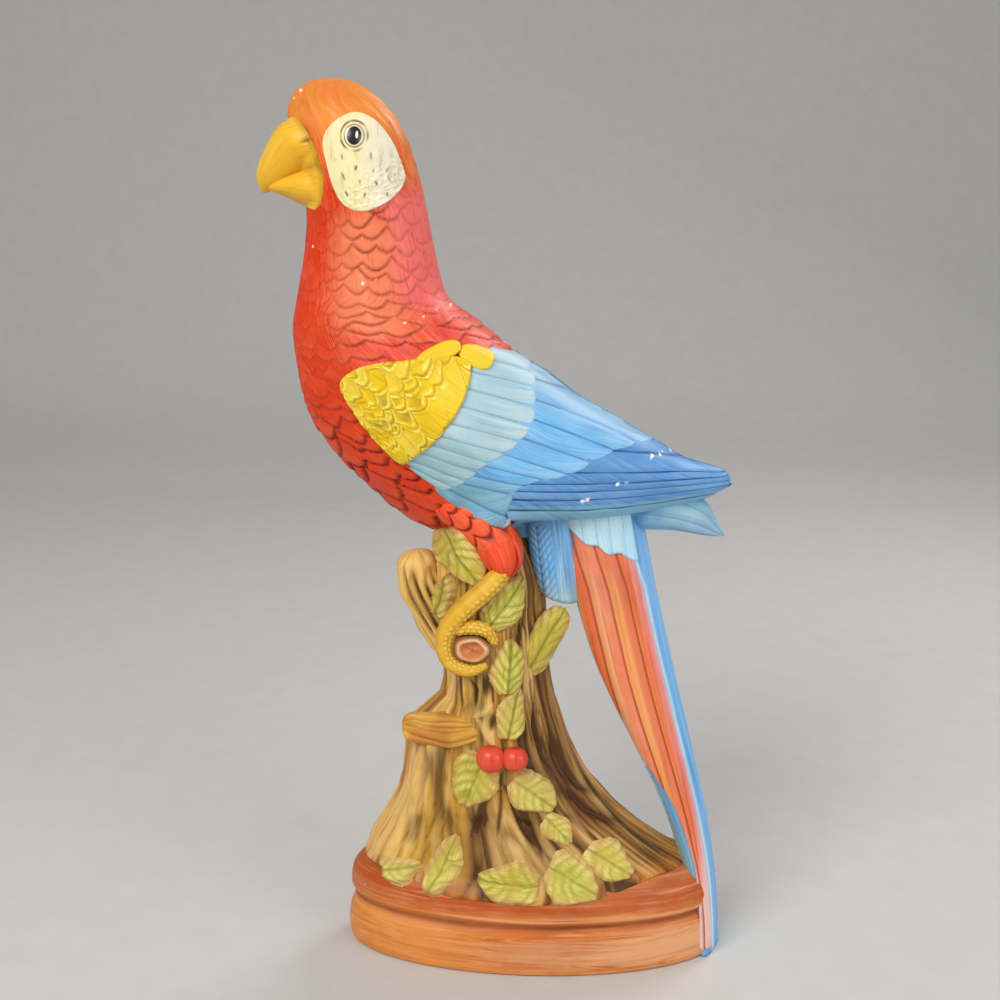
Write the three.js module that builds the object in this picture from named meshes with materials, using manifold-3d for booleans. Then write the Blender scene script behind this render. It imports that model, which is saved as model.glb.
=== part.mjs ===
// Painted earthenware macaw that perches on a tree stump, on an oval plinth with two rings.
// The plinth, the stump and the bird are hollow casts. The wings, feet, leaves and berries are pressed
// pieces that are luted on with slip, so every piece meets its neighbours at a narrow seam.
// Millimetres, +Z up. The origin is the middle of the plinth's underside. The bird faces -X, so its
// left side is -Y.

import * as THREE from "three";
import { LoftGeometry } from "three/addons/geometries/LoftGeometry.js";
import { mergeVertices } from "three/addons/utils/BufferGeometryUtils.js";
import Module from "manifold-3d";

// Joints and walls
const SEAM = 0.35; // slip joint between two pieces
const WALL = 5; // cast wall of the hollow pieces
const BEDDING = 1.5; // depth to which a pressed piece is bedded before its seam is cut

// Plinth
const PLINTH_LENGTH = 148;
const PLINTH_DEPTH = 64;
const FOOT_RING_HEIGHT = 17;
const TOP_RING_HEIGHT = 20;
const RING_GROOVE = 2.5; // depth of the groove between the rings
const RING_ROUND = 4; // rounding of the top ring's shoulder
const FOOT_ROUND = 1.5; // rounding of the foot ring's lower edge
const VENT_DIAMETER = 14;
const VENT_SHARE = 0.32; // place of the vent between the plinth's middle and its tail end

// Stump
const STUMP_HEIGHT = 128; // from the plinth's top to the perch
const STUMP_X = -20; // axis of the stump, from the plinth's middle
const STUMP_LENGTH = 35;
const STUMP_DEPTH = 40;
const ROOT_INSET = 5; // from the plinth's edge to the roots' tips
const TAIL_ROOM = 12; // from the plinth's tail end to the roots' tips there
const ROOT_FADE = 33; // height in which the roots' spread falls to about a third
const ROOT_COUNT = 7;
const ROOT_DEPTH = 2; // how far the roots stand out between their furrows
const BARK_DEPTH = 0.8; // how far the bark ridges stand out higher up
const STUMP_OVERLAP = 10; // how far the stump runs up into the bird
const STUMP_SHOULDER = 18; // height below the perch at which the stump starts to draw in
const STUMP_DRAW = 6; // how far it draws in on the tail side
const DRAIN_DIAMETER = 12; // hole between two hollows
const KNOT_DIAMETER = 14;
const KNOT_REACH = 6; // how far a knot stands out of the stump
const UPPER_STUB_DIAMETER = 18;
const LOWER_STUB_DIAMETER = 12.4;
const LEAF_LENGTH = 24; // of the largest leaf
const LEAF_WIDTH = 15; // of the widest leaf
const LEAF_RISE = 2.2;
const SIDE_LEAF_WIDTH = 10;
const FRONT_BERRY_DIAMETER = 10.4;
const REAR_BERRY_DIAMETER = 9.4;

// Bird
const BIRD_HEIGHT = 165.2; // from the perch to the crown
const HEAD_WIDTH = 41;
const NECK_WIDTH = 42;
const BODY_WIDTH = 65;
const FRONT_TAPER = 0.3; // share by which head and breast narrow towards the front
const FEATHER_RISE = 1; // how far a row of body feathers stands over the next row
const FEATHER_ROWS = 18; // rows from the crown to the root of the tail
const FEATHERS_AROUND = 12; // feathers in a row
const WING_RISE = 2.2; // how far the wing's feathers stand out of the body
const SHOULDER_RISE = 3;
const FACE_RISE = 1.2;
const EYE_DIAMETER = 8.6;
const EYE_RISE = 2.4;
const BEAK_WIDTH = 30;
const THIGH_DIAMETER = 18;
const TOE_DIAMETER = 6;

// Tail
const TAIL_WIDTH = 32; // front to back at its root
const TAIL_THICKNESS = 25;
const TAIL_FOOT_WIDTH = 9;
const TAIL_NARROWING = 0.56; // share of the tail's length at which it has lost half of its width
const TAIL_BOW = 4.5; // how far the ridge bows out from a straight line
const TAIL_FEATHER_RISE = 2.2;
const TAIL_FRONT_EDGE = 2.5; // width of the blue edge in front of the red feathers
const COVERT_WIDTH = 25; // of the plume under the tail
const RUMP_PLUME_WIDTH = 18;

const PLINTH_HEIGHT = FOOT_RING_HEIGHT + TOP_RING_HEIGHT;
const HALF_LENGTH = PLINTH_LENGTH / 2;
const HALF_DEPTH = PLINTH_DEPTH / 2;
const PERCH = new THREE.Vector3(STUMP_X, 0, PLINTH_HEIGHT + STUMP_HEIGHT);
const TURN = Math.PI * 2;
const RIDGE_TURN = 0.07; // radians by which a pressed piece stays clear of the form's middle line
const LEFT = -1;
const RIGHT = 1;

const wasm = await Module();
wasm.setup();

// Closed solid from a geometry: its shared corners are merged, its collapsed triangles dropped, and
// its faces turned to point out.
function solid(geometry) {
  geometry.deleteAttribute("normal");
  geometry.deleteAttribute("uv");
  const merged = mergeVertices(geometry, 1e-3);
  const index = merged.index.array;
  const corners = [];
  for (let i = 0; i < index.length; i += 3) {
    const [a, b, c] = index.slice(i, i + 3);
    if (a !== b && b !== c && c !== a) corners.push(a, b, c);
  }
  const vertProperties = merged.attributes.position.array;
  const build = (triVerts) => new wasm.Manifold(new wasm.Mesh({ numProp: 3, vertProperties, triVerts }));
  const made = build(new Uint32Array(corners));
  return made.volume() > 0 ? made : build(new Uint32Array(corners.reverse()));
}

function geometryOf(made) {
  const { vertProperties, triVerts } = made.getMesh();
  const geometry = new THREE.BufferGeometry();
  geometry.setAttribute("position", new THREE.BufferAttribute(vertProperties, 3));
  geometry.setIndex(new THREE.BufferAttribute(triVerts, 1));
  return geometry;
}

// Solid skinned over rings of points, with each end closed to the middle of its ring.
// point(turn, step) gives a ring's point at a turn in radians.
function skin(point, around, steps) {
  const rings = [];
  for (let step = 0; step <= steps; step += 1) {
    const ring = [];
    for (let k = 0; k < around; k += 1) ring.push(point((k / around) * TURN, step));
    rings.push(ring);
  }
  const pole = (ring) => {
    const middle = ring.reduce((sum, p) => sum.add(p), new THREE.Vector3()).divideScalar(around);
    return ring.map(() => middle);
  };
  const loft = new LoftGeometry([pole(rings[0]), ...rings, pole(rings[steps])]);
  return solid(new THREE.BufferGeometry().copy(loft));
}

function spline(points, closed = false) {
  return new THREE.CatmullRomCurve3(points, closed, "catmullrom");
}

function lerp(a, b, share) {
  return a + (b - a) * share;
}

// The piece that is left when the ones before it have taken their room
function largest(made) {
  const pieces = made.decompose();
  return pieces.reduce((best, piece) => (piece.volume() > best.volume() ? piece : best));
}

// A form drawn in side view: ribs join a front point to a back point, and each has a half width.
// The skin runs round every rib as an oval. section(c) narrows the oval towards the back, where c is
// -1 at the front and 1 at the back.
class RibForm {
  constructor(ribs, { around, steps, section = () => 1, y = 0 }) {
    this.front = spline(ribs.map(([x, z, , , half]) => new THREE.Vector3(x, half, z)));
    this.back = spline(ribs.map(([, , x, z, half]) => new THREE.Vector3(x, half, z)));
    this.around = around;
    this.steps = steps;
    this.section = section;
    this.y = y;
  }

  rib(t) {
    const front = this.front.getPoint(t);
    const back = this.back.getPoint(t);
    const half = Math.max(front.y, 0);
    front.y = 0;
    back.y = 0;
    const middle = front.clone().lerp(back, 0.5);
    const along = back.clone().sub(front).normalize();
    return { front, back, middle, half, along, reach: middle.distanceTo(back) };
  }

  // Point of the skin at a share t of the ribs and a turn that is 0 at the back and half a turn at
  // the front, lifted off the skin along the oval's normal
  point(t, turn, lift = 0, side = RIGHT) {
    const { middle, half, reach, along } = this.rib(t);
    const c = Math.cos(turn);
    const s = Math.sin(turn);
    const normal = new THREE.Vector2(c * half, s * reach).normalize();
    const out = Math.max(reach * Math.abs(c) + lift * Math.abs(normal.x), 0) * Math.sign(c);
    const across = Math.max(half * Math.abs(s) * this.section(c) + lift * Math.abs(normal.y), 0);
    return middle.addScaledVector(along, out).setY(this.y + side * across * Math.sign(s));
  }

  // Share of the ribs and turn of the skin's point that side view shows at x, z
  locate(x, z) {
    let low = 0.01;
    let high = 0.99;
    for (let i = 0; i < 40; i += 1) {
      const t = (low + high) / 2;
      const { front, back } = this.rib(t);
      const side = (back.x - front.x) * (z - front.z) - (back.z - front.z) * (x - front.x);
      if (side < 0) low = t;
      else high = t;
    }
    const { middle, reach, along } = this.rib(low);
    const c = ((x - middle.x) * along.x + (z - middle.z) * along.z) / reach;
    const edge = Math.cos(RIDGE_TURN);
    return [low, Math.acos(THREE.MathUtils.clamp(c, -edge, edge))];
  }

  form(grow, from = 0, to = 1, steps = this.steps) {
    return skin((turn, step) => this.point(lerp(from, to, step / steps), turn, grow), this.around, steps);
  }
}

// A pressed piece that lies on a host form. Its outline is drawn in side view, bulging round its own
// middle, and laid on the host's skin. Its top is crowned, and falls by a third towards the rim.
function pad(host, side, outline, rise, around = 15) {
  const drawn = spline(outline.map(([x, z]) => new THREE.Vector3(x, 0, z)), true);
  const laid = spline(outline.map(([x, z]) => new THREE.Vector3(...host.locate(x, z), 0)), true);
  const middleOf = (curve) => {
    const points = curve.getPoints(around * 2);
    return points.reduce((sum, p) => sum.add(p), new THREE.Vector3()).divideScalar(points.length);
  };
  const middleDrawn = middleOf(drawn);
  const middleLaid = middleOf(laid);
  // Rings of the crowned top from its middle to the rim, then the rim's underside
  const spreads = [0, 0.45, 0.8, 1, 1];
  const under = spreads.length - 1;
  return (grow) =>
    skin((turn, step) => {
      const spread = spreads[step];
      const reach = drawn.getPoint(turn / TURN).distanceTo(middleDrawn);
      const at = middleLaid.clone().lerp(laid.getPoint(turn / TURN), spread * (1 + grow / reach));
      const top = (rise + grow) * (1 - spread ** 4 / 3);
      return host.point(at.x, at.y, step === under ? -BEDDING - grow : top, side);
    }, around, under);
}

// A round limb: rings carried along a smooth path, with a radius at each point of the path
function limb(points, radii, around = 10, steps = 8) {
  const path = spline(points.map((p) => new THREE.Vector3(...p)));
  const widths = spline(radii.map((radius) => new THREE.Vector3(radius, 0, 0)));
  const frames = path.computeFrenetFrames(steps);
  return (grow) =>
    skin((turn, step) => {
      const radius = Math.max(widths.getPoint(path.getUtoTmapping(step / steps)).x, 0) + grow;
      const end = step === 0 ? -grow : step === steps ? grow : 0;
      return path
        .getPointAt(step / steps)
        .addScaledVector(frames.tangents[step], end)
        .addScaledVector(frames.normals[step], Math.cos(turn) * radius)
        .addScaledVector(frames.binormals[step], Math.sin(turn) * radius);
    }, around, steps);
}

function cylinder(radius, low, high, x) {
  const geometry = new THREE.CylinderGeometry(radius, radius, high - low, 14);
  return solid(geometry.rotateX(Math.PI / 2).translate(x, 0, (low + high) / 2));
}

function ball(radius, centre, grow) {
  return solid(new THREE.SphereGeometry(radius + grow, 10, 7).translate(...centre));
}

// The bird and what it grips are drawn from the perch, in hundredths of the bird's height: x towards
// the tail, z up
const DRAWN = BIRD_HEIGHT / 100;
const fromPerch = ([x, z]) => [PERCH.x + x * DRAWN, PERCH.z + z * DRAWN];
const ribsFromPerch = (ribs) =>
  ribs.map(([fx, fz, bx, bz, half]) => [...fromPerch([fx, fz]), ...fromPerch([bx, bz]), half]);
const pathFromPerch = (points) =>
  points.map(([px, y, pz]) => {
    const [x, z] = fromPerch([px, pz]);
    return [x, y, z];
  });

// Plinth: an oval carried up a profile of two rings with a groove between them. Each step of the
// profile gives how far the wall is drawn in, and its height.
function plinthForm(grow) {
  const profile = [
    [FOOT_ROUND, 0],
    [0, FOOT_ROUND],
    [0, FOOT_RING_HEIGHT * 0.6],
    [RING_GROOVE * 0.4, FOOT_RING_HEIGHT * 0.85],
    [RING_GROOVE, FOOT_RING_HEIGHT],
    [RING_GROOVE * 0.6, FOOT_RING_HEIGHT + TOP_RING_HEIGHT * 0.2],
    [RING_GROOVE * 0.3, FOOT_RING_HEIGHT + TOP_RING_HEIGHT * 0.5],
    [RING_ROUND * 0.35, PLINTH_HEIGHT - RING_ROUND],
    [RING_ROUND, PLINTH_HEIGHT],
  ];
  const last = profile.length - 1;
  return skin((turn, step) => {
    const [inset, height] = profile[step];
    const lift = step === last ? grow : 0;
    const length = HALF_LENGTH - inset + grow;
    const depth = HALF_DEPTH - inset + grow;
    return new THREE.Vector3(length * Math.cos(turn), depth * Math.sin(turn), height + lift);
  }, 32, last);
}

function plinthHollow() {
  const thickness = WALL + RING_GROOVE;
  const length = HALF_LENGTH - thickness;
  const depth = HALF_DEPTH - thickness;
  return skin((turn, step) => {
    const z = step === 0 ? WALL : PLINTH_HEIGHT - WALL;
    return new THREE.Vector3(length * Math.cos(turn), depth * Math.sin(turn), z);
  }, 24, 1);
}

// Stump: level ovals whose spread falls away from the roots' tips on the plinth, with furrows
const stump = {
  top: PERCH.z + STUMP_OVERLAP,
  oval(z) {
    const fade = Math.min(Math.exp((PLINTH_HEIGHT - z) / ROOT_FADE), 1);
    const taper = STUMP_DRAW * THREE.MathUtils.smoothstep(z, PERCH.z - STUMP_SHOULDER, this.top);
    const low = lerp(STUMP_X - STUMP_LENGTH / 2, ROOT_INSET - HALF_LENGTH, fade);
    const high = lerp(STUMP_X + STUMP_LENGTH / 2, HALF_LENGTH - TAIL_ROOM, fade) - taper;
    const depth = lerp(STUMP_DEPTH / 2, HALF_DEPTH - ROOT_INSET, fade) - taper / 3;
    return { x: (low + high) / 2, length: (high - low) / 2, depth, fade };
  },
  point(z, turn, lift = 0, side = RIGHT) {
    const { x, length, depth, fade } = this.oval(z);
    const fromTail = Math.acos(Math.cos(turn));
    const depthOfFurrow = lerp(BARK_DEPTH, ROOT_DEPTH, fade);
    const furrow = depthOfFurrow * Math.cos(ROOT_COUNT * fromTail + z / ROOT_FADE);
    return new THREE.Vector3(
      x + (length + furrow + lift) * Math.cos(turn),
      side * (depth + furrow + lift) * Math.sin(turn),
      z,
    );
  },
  locate(x, z) {
    const oval = this.oval(z);
    return [z, Math.acos(THREE.MathUtils.clamp((x - oval.x) / oval.length, -0.99, 0.99))];
  },
  form(grow) {
    const steps = 10;
    const low = PLINTH_HEIGHT - WALL;
    return skin((turn, step) => {
      const end = step === 0 ? -grow : step === steps ? grow : 0;
      return this.point(lerp(low, this.top, step / steps) + end, turn, grow);
    }, ROOT_COUNT * 5, steps);
  },
  hollow() {
    const steps = 5;
    return skin((turn, step) => {
      const z = lerp(PLINTH_HEIGHT - WALL, PERCH.z - WALL * 3, step / steps);
      const { x, length, depth } = this.oval(z);
      const wall = WALL + BARK_DEPTH;
      return new THREE.Vector3(x + (length - wall) * Math.cos(turn), (depth - wall) * Math.sin(turn), z);
    }, 16, steps);
  },
};

// Bird: ribs from the crown, down the neck and back to the wing tips.
// Front x and z, back x and z, half width
const HALF_HEAD = HEAD_WIDTH / 2;
const HALF_NECK = NECK_WIDTH / 2;
const HALF_BODY = BODY_WIDTH / 2;
const bird = new RibForm(
  ribsFromPerch([
    [-34.8, 100, -34.8, 100, 0],
    [-39.6, 99.2, -29.7, 99, HALF_HEAD * 0.37],
    [-43.5, 96.5, -24.8, 95.9, HALF_HEAD * 0.66],
    [-44.5, 90.8, -19.9, 90.1, HALF_HEAD * 0.89],
    [-42.7, 81.7, -16.6, 80.8, HALF_HEAD],
    [-40.9, 72.3, -14.5, 72.6, (HALF_HEAD + HALF_NECK) / 2],
    [-41.4, 63.6, -12.7, 63.6, HALF_NECK],
    [-43, 54.5, -10, 54.5, (HALF_NECK * 3 + HALF_BODY) / 4],
    [-44.1, 46.6, -3.3, 49, HALF_BODY * 0.86],
    [-43.3, 38.7, 6.5, 41.2, HALF_BODY * 0.95],
    [-41.3, 29.1, 16.9, 32.7, HALF_BODY],
    [-36.3, 20.9, 24.8, 28.1, HALF_BODY],
    [-28.4, 12.5, 31.5, 24.3, HALF_BODY * 0.95],
    [-16.3, 3.3, 37.5, 21.2, HALF_BODY * 0.86],
    [0, -0.6, 43, 18.5, HALF_BODY * 0.69],
    [20.6, 1.8, 47.8, 16.1, HALF_BODY * 0.48],
    [39.4, 6.4, 51.8, 13.9, HALF_BODY * 0.26],
    [49.6, 9.4, 53.9, 12.7, HALF_BODY * 0.12],
    [54.8, 11.3, 54.8, 11.3, 0],
  ]),
  { around: FEATHERS_AROUND * 2, steps: 27, section: (c) => 1 + FRONT_TAPER * Math.min(c, 0) },
);

// Rings of the feathered skin: share of the ribs, how far the ring is sunk, and which way it zigzags.
// Each row of feathers ends in a zigzag at full height, and a sunk ring close behind starts the next row.
const FIRST_ROW = 0.06;
const LAST_ROW = 0.81;
const featherRings = [[0, 0, 0], [FIRST_ROW / 2, 0, 0]];
for (let row = 0; row <= FEATHER_ROWS; row += 1) {
  const share = lerp(FIRST_ROW, LAST_ROW, row / FEATHER_ROWS);
  const zigzag = row % 2 ? 1 : -1;
  featherRings.push([share, 0, zigzag], [share + 0.006, FEATHER_RISE, zigzag]);
}
featherRings.push([0.86, 0, 0], [0.91, 0, 0], [0.96, 0, 0], [1, 0, 0]);

function featheredBird(grow) {
  const { around } = bird;
  const reach = 0.2 * ((LAST_ROW - FIRST_ROW) / FEATHER_ROWS); // of a feather's tip past its row's middle
  return skin((turn, step) => {
    const [share, sunk, zigzag] = featherRings[step];
    const tip = Math.round((turn / TURN) * around) % 2 ? 1 : -1;
    return bird.point(share + tip * zigzag * reach, turn, grow - sunk);
  }, around, featherRings.length - 1);
}

// Tail: level ribs from inside the body down to the plinth's tail end. Its ridge is the back edge.
const [tailTopX, tailTopZ] = fromPerch([35.4, 3]);
const tailFootShare = (HALF_LENGTH - TAIL_FOOT_WIDTH) / HALF_LENGTH;
const tailFootHalf = HALF_DEPTH * Math.sqrt(1 - tailFootShare ** 2);
function tailRib(share) {
  const s = Math.max(share, 0);
  const ridge = lerp(tailTopX, HALF_LENGTH, share) + TAIL_BOW * Math.sin(Math.PI * s * s);
  const z = lerp(tailTopZ, 0, share);
  const width = lerp(TAIL_FOOT_WIDTH, TAIL_WIDTH, 1 / (1 + (s / TAIL_NARROWING) ** 4));
  return [ridge - width, z, ridge, z, lerp(TAIL_THICKNESS / 2, tailFootHalf, s ** 3)];
}
const tail = new RibForm(
  [-0.08, 0, 0.1, 0.2, 0.3, 0.4, 0.5, 0.6, 0.7, 0.8, 0.9, 1].map(tailRib),
  { around: 16, steps: 14, section: (c) => 0.9 - 0.45 * c },
);

const coverts = new RibForm(
  ribsFromPerch([
    [8.7, 5.5, 20.6, 5.5, COVERT_WIDTH / 2],
    [9.7, -3, 20.6, -3, COVERT_WIDTH / 2],
    [11.6, -9.3, 20.6, -9.1, COVERT_WIDTH * 0.46],
    [13.9, -13.3, 18.8, -13.9, COVERT_WIDTH * 0.36],
    [16.9, -16.3, 16.9, -16.3, 0],
  ]),
  { around: 12, steps: 6 },
);

const rumpPlume = new RibForm(
  ribsFromPerch([
    [30.3, 6, 30.3, 6, 0],
    [35.1, 1.8, 36.3, 11.5, RUMP_PLUME_WIDTH / 2],
    [43.6, 0.9, 46, 9.7, RUMP_PLUME_WIDTH * 0.39],
    [50.9, -0.1, 52.1, 6, RUMP_PLUME_WIDTH * 0.22],
    [53.9, 0.3, 53.9, 0.3, 0],
  ]),
  { around: 12, steps: 8 },
);

// Beak: ribs from the root inside the head to the tip
const upperBeak = new RibForm(
  ribsFromPerch([
    [-31.5, 92, -29.1, 81.1, BEAK_WIDTH / 2],
    [-37.5, 92.6, -33.9, 80.8, BEAK_WIDTH / 2],
    [-43, 92.1, -37.5, 80.5, BEAK_WIDTH * 0.46],
    [-47.2, 89.3, -40.9, 79.6, BEAK_WIDTH * 0.37],
    [-50.2, 84, -44.2, 78.1, BEAK_WIDTH * 0.25],
    [-51.5, 79.3, -47.5, 76.6, BEAK_WIDTH * 0.13],
    [-50.6, 75.8, -50.6, 75.8, 0],
  ]),
  { around: 14, steps: 12 },
);
const lowerBeak = new RibForm(
  ribsFromPerch([
    [-31.5, 70.2, -29.1, 82.3, BEAK_WIDTH * 0.45],
    [-36.3, 71.1, -33.9, 82, BEAK_WIDTH * 0.45],
    [-40, 72, -37.5, 81.7, BEAK_WIDTH * 0.4],
    [-43.3, 73.5, -41.2, 80.5, BEAK_WIDTH * 0.3],
    [-46, 75.2, -44.8, 79, BEAK_WIDTH * 0.18],
    [-48.4, 76.3, -48.4, 76.3, 0],
  ]),
  { around: 12, steps: 9 },
);

// Wing: four tiers of feathers, each laid over the next
const wingTiers = {
  shoulder_coverts: [
    [-31.5, 37.2], [-26, 40], [-17.9, 42.1], [-10.9, 44.8], [-5.5, 45.4], [-0.6, 44.2],
    [-1.2, 40], [-4.5, 35.1], [-8.3, 26.6], [-12.5, 21.5], [-17.2, 18.2], [-24.5, 26],
    [-29.1, 32.1],
  ],
  wing_coverts: [
    [-2.4, 44.5], [4.2, 41.8], [8.5, 38.1], [9.4, 35.1], [9.1, 27.6], [7, 24.5],
    [2.4, 22], [-2.4, 18.3], [-8.5, 13.3], [-14.5, 16.3], [-18.2, 20], [-10.9, 30.3],
    [-6, 37.5],
  ],
  secondaries: [
    [7.3, 37.5], [17.6, 33], [26.6, 27.9], [29.1, 25.7], [24.2, 22.4], [16.9, 16.6],
    [10.3, 12.1], [7, 8.5], [5.8, 5.1], [1.4, 6.1], [-4, 8.7], [-11.5, 13.6], [-4.8, 20.6],
    [2.4, 27.9],
  ],
  primaries: [
    [24.2, 28.4], [31.5, 25.1], [40, 20.9], [48.4, 16.3], [53, 12.4], [51.5, 10.3],
    [45.4, 10.3], [32.7, 9.7], [19.8, 8.2], [7.3, 7.6], [5.5, 13.3], [16.3, 18.2],
  ],
};

const facePatch = [
  [-29.2, 92.3], [-33.6, 89.9], [-35.7, 86.4], [-34.8, 81.1], [-33.3, 76.3], [-30.9, 72.9],
  [-26.5, 71.9], [-21.2, 74.5], [-18.6, 78.7], [-20, 83.8], [-22.1, 87.8], [-25.1, 91.1],
];
const eyeCentre = [-28.7, 87.2];

function disc([x, z], radius) {
  const points = [];
  for (let k = 0; k < 8; k += 1) {
    points.push([x + radius * Math.cos((k / 8) * TURN), z + radius * Math.sin((k / 8) * TURN)]);
  }
  return points;
}

// Thigh, leg and toes. The thigh's y is a share of the flank's, and a toe lies on the stump's side.
const ANKLE_SHARE = 0.72;
function thigh(side) {
  const y = (share) => side * HALF_BODY * share;
  const path = [
    [1.8, y(0.39), 10.9], [2.7, y(0.57), 4.2], [3.9, y(0.68), -1.8], [4.5, y(ANKLE_SHARE), -6.7],
  ];
  const radii = [0.61, 0.5, 0.39, 0.17].map((share) => share * THIGH_DIAMETER);
  return limb(pathFromPerch(path), radii, 12);
}
function foot(side) {
  const y = (toes) => side * (STUMP_DEPTH / 2 + toes * TOE_DIAMETER);
  const ankle = [4.1, side * HALF_BODY * ANKLE_SHARE, -4.2];
  const legPath = [
    ankle, [-0.3, y(0.83), -8.5], [-4.2, y(0.92), -12.4], [-7.6, y(0.83), -16],
    [-9.9, y(0.58), -20], [-9.9, y(0.42), -24.2], [-7.6, y(0.42), -27.2], [-3.6, y(0.5), -28.3],
    [0.3, y(0.5), -26.6],
  ];
  const legRadii = [0.57, 0.57, 0.57, 0.55, 0.5, 0.5, 0.47, 0.43, 0.27];
  const toePath = [
    [-7.9, y(0.67), -17.9], [-3.6, y(0.67), -17.6], [0.6, y(0.58), -19.4], [1.6, y(0.42), -22.4],
  ];
  const toeRadii = [0.43, 0.45, 0.43, 0.27];
  const toes = (radii) => radii.map((share) => share * TOE_DIAMETER);
  const leg = limb(pathFromPerch(legPath), toes(legRadii), 6, 14);
  const upperToe = limb(pathFromPerch(toePath), toes(toeRadii), 6, 6);
  return (grow) => leg(grow).add(upperToe(grow));
}

// The foot grips a knot. Each step of its path is given as how many reaches it lies inside the end.
function knot(side) {
  const y = (reaches) => side * (STUMP_DEPTH / 2 + KNOT_REACH * (1 - reaches));
  const path = [2.7, 1.33, 0.17, 0].map((reaches) => [-3.5, y(reaches), -23]);
  const radii = [0.5, 0.5, 0.5, 0.41].map((share) => share * KNOT_DIAMETER);
  return limb(pathFromPerch(path), radii, 14, 6);
}

const upperStub = limb(
  pathFromPerch([
    [-7.9, 0, -28.4],
    [-13.3, UPPER_STUB_DIAMETER * -0.11, -18.8],
    [-16.5, UPPER_STUB_DIAMETER * -0.22, -10.3],
    [-17.9, UPPER_STUB_DIAMETER * -0.28, -4.8],
  ]),
  [0.44, 0.5, 0.47, 0.28].map((share) => share * UPPER_STUB_DIAMETER),
  12,
);

// What grows out of the stump's side keeps its share of the stump's height
const upStump = (share) => PLINTH_HEIGHT + STUMP_HEIGHT * share;
const lowerStub = limb(
  [
    [STUMP_X + STUMP_LENGTH * 0.17, STUMP_DEPTH * -0.47, upStump(0.46)],
    [STUMP_X - STUMP_LENGTH * 0.23, STUMP_DEPTH * -0.53, upStump(0.43)],
    [STUMP_X - STUMP_LENGTH * 0.63, STUMP_DEPTH * -0.4, upStump(0.43)],
    [STUMP_X - STUMP_LENGTH * 0.91, STUMP_DEPTH * -0.3, upStump(0.43)],
  ],
  [0.4, 0.5, 0.5, 0.5].map((share) => share * LOWER_STUB_DIAMETER),
  12,
);

// Leaves: x from the stump's axis as a share of the stump's length, height, shares of the largest leaf's
// length and width, the way that the tip points in degrees, and whether the far side has one too
const fromPerchUp = (z) => PERCH.z + z * DRAWN;
const fromPlinthUp = (lengths) => PLINTH_HEIGHT + lengths * LEAF_LENGTH;
const leaves = [
  [-0.24, fromPerchUp(-2.4), 1, 0.93, -53, true],
  [-0.43, fromPerchUp(-10.3), 0.71, 0.57, 80, false],
  [0.18, fromPerchUp(-10.9), 0.96, 0.83, 58, true],
  [0.22, upStump(0.68), 0.83, 0.73, 88, true],
  [0.29, upStump(0.52), 0.83, 0.63, 80, true],
  [-0.11, upStump(0.31), 0.88, 1, -125, true],
  [0.49, upStump(0.28), 0.88, 0.83, -38, true],
  [-0.84, fromPlinthUp(0.29), 0.67, 0.6, 165, false],
  [-0.41, fromPlinthUp(0.38), 0.83, 0.8, -100, true],
  [0.26, fromPlinthUp(0.25), 0.96, 0.73, 170, true],
  [0.95, fromPlinthUp(0.23), 0.92, 0.73, 15, true],
  [1.371, fromPlinthUp(0.35), 0.79, 0.67, 20, true],
  [0.73, fromPlinthUp(0.92), 0.58, 0.67, -60, false],
];
const berries = [
  [0.06, upStump(0.38), FRONT_BERRY_DIAMETER, "front"],
  [0.29, upStump(0.38), REAR_BERRY_DIAMETER, "rear"],
];

// Outline of a leaf, pointed at both ends
function leafOutline(x, z, length, width, tip) {
  const points = [];
  const angle = THREE.MathUtils.degToRad(tip);
  for (let k = 0; k < 10; k += 1) {
    const turn = (k / 10) * TURN;
    const along = (length / 2) * Math.cos(turn);
    const across = (width / 2) * Math.sin(turn) * Math.abs(Math.sin(turn)) ** 0.3;
    points.push([
      x + along * Math.cos(angle) - across * Math.sin(angle),
      z + along * Math.sin(angle) + across * Math.cos(angle),
    ]);
  }
  return points;
}

function berry(x, z, diameter, side) {
  const [height, turn] = stump.locate(x, z);
  const centre = stump.point(height, turn, diameter * 0.3, side);
  return (grow) => ball(diameter / 2, centre.toArray(), grow);
}

// The leaf that stands off the stump under the tail
const sideLeaf = new RibForm(
  ribsFromPerch([
    [4.8, -32.7, 10.3, -35.1, SIDE_LEAF_WIDTH * 0.4],
    [7.9, -27.9, 13.3, -31.5, SIDE_LEAF_WIDTH * 0.5],
    [9.7, -23.3, 14.5, -26, SIDE_LEAF_WIDTH * 0.45],
    [12.4, -19.1, 16.3, -20.9, SIDE_LEAF_WIDTH * 0.35],
    [17.1, -16, 17.1, -16, 0],
  ]),
  { around: 10, steps: 6, y: -STUMP_DEPTH / 4 },
);

// Colours of the paint, and how rough it is
const paint = {
  plinth: [0x9a4a26, 0.45],
  bark: [0x9c7440, 0.6],
  scarlet: [0xb8271c, 0.45],
  orange: [0xd0582a, 0.45],
  horn: [0xd8a43c, 0.4],
  cream: [0xe9dcc0, 0.5],
  eye: [0x14100e, 0.2],
  yellow: [0xd9a62c, 0.45],
  sky: [0x3f8fb0, 0.45],
  blue: [0x2a6f9c, 0.45],
  navy: [0x1d3f6e, 0.45],
  toe: [0xcfa046, 0.5],
  leaf: [0x8f9a35, 0.5],
  berry: [0xb3261c, 0.25],
};

const figurine = new THREE.Group();
const stumpGroup = new THREE.Group();
stumpGroup.position.set(0, 0, PLINTH_HEIGHT);
const birdGroup = new THREE.Group();
birdGroup.position.copy(PERCH);
figurine.add(stumpGroup, birdGroup);

// Fitted pieces, in the order in which they take their room: a later piece is cut back by a seam from
// every earlier one that it meets.
const fitted = [];

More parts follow.
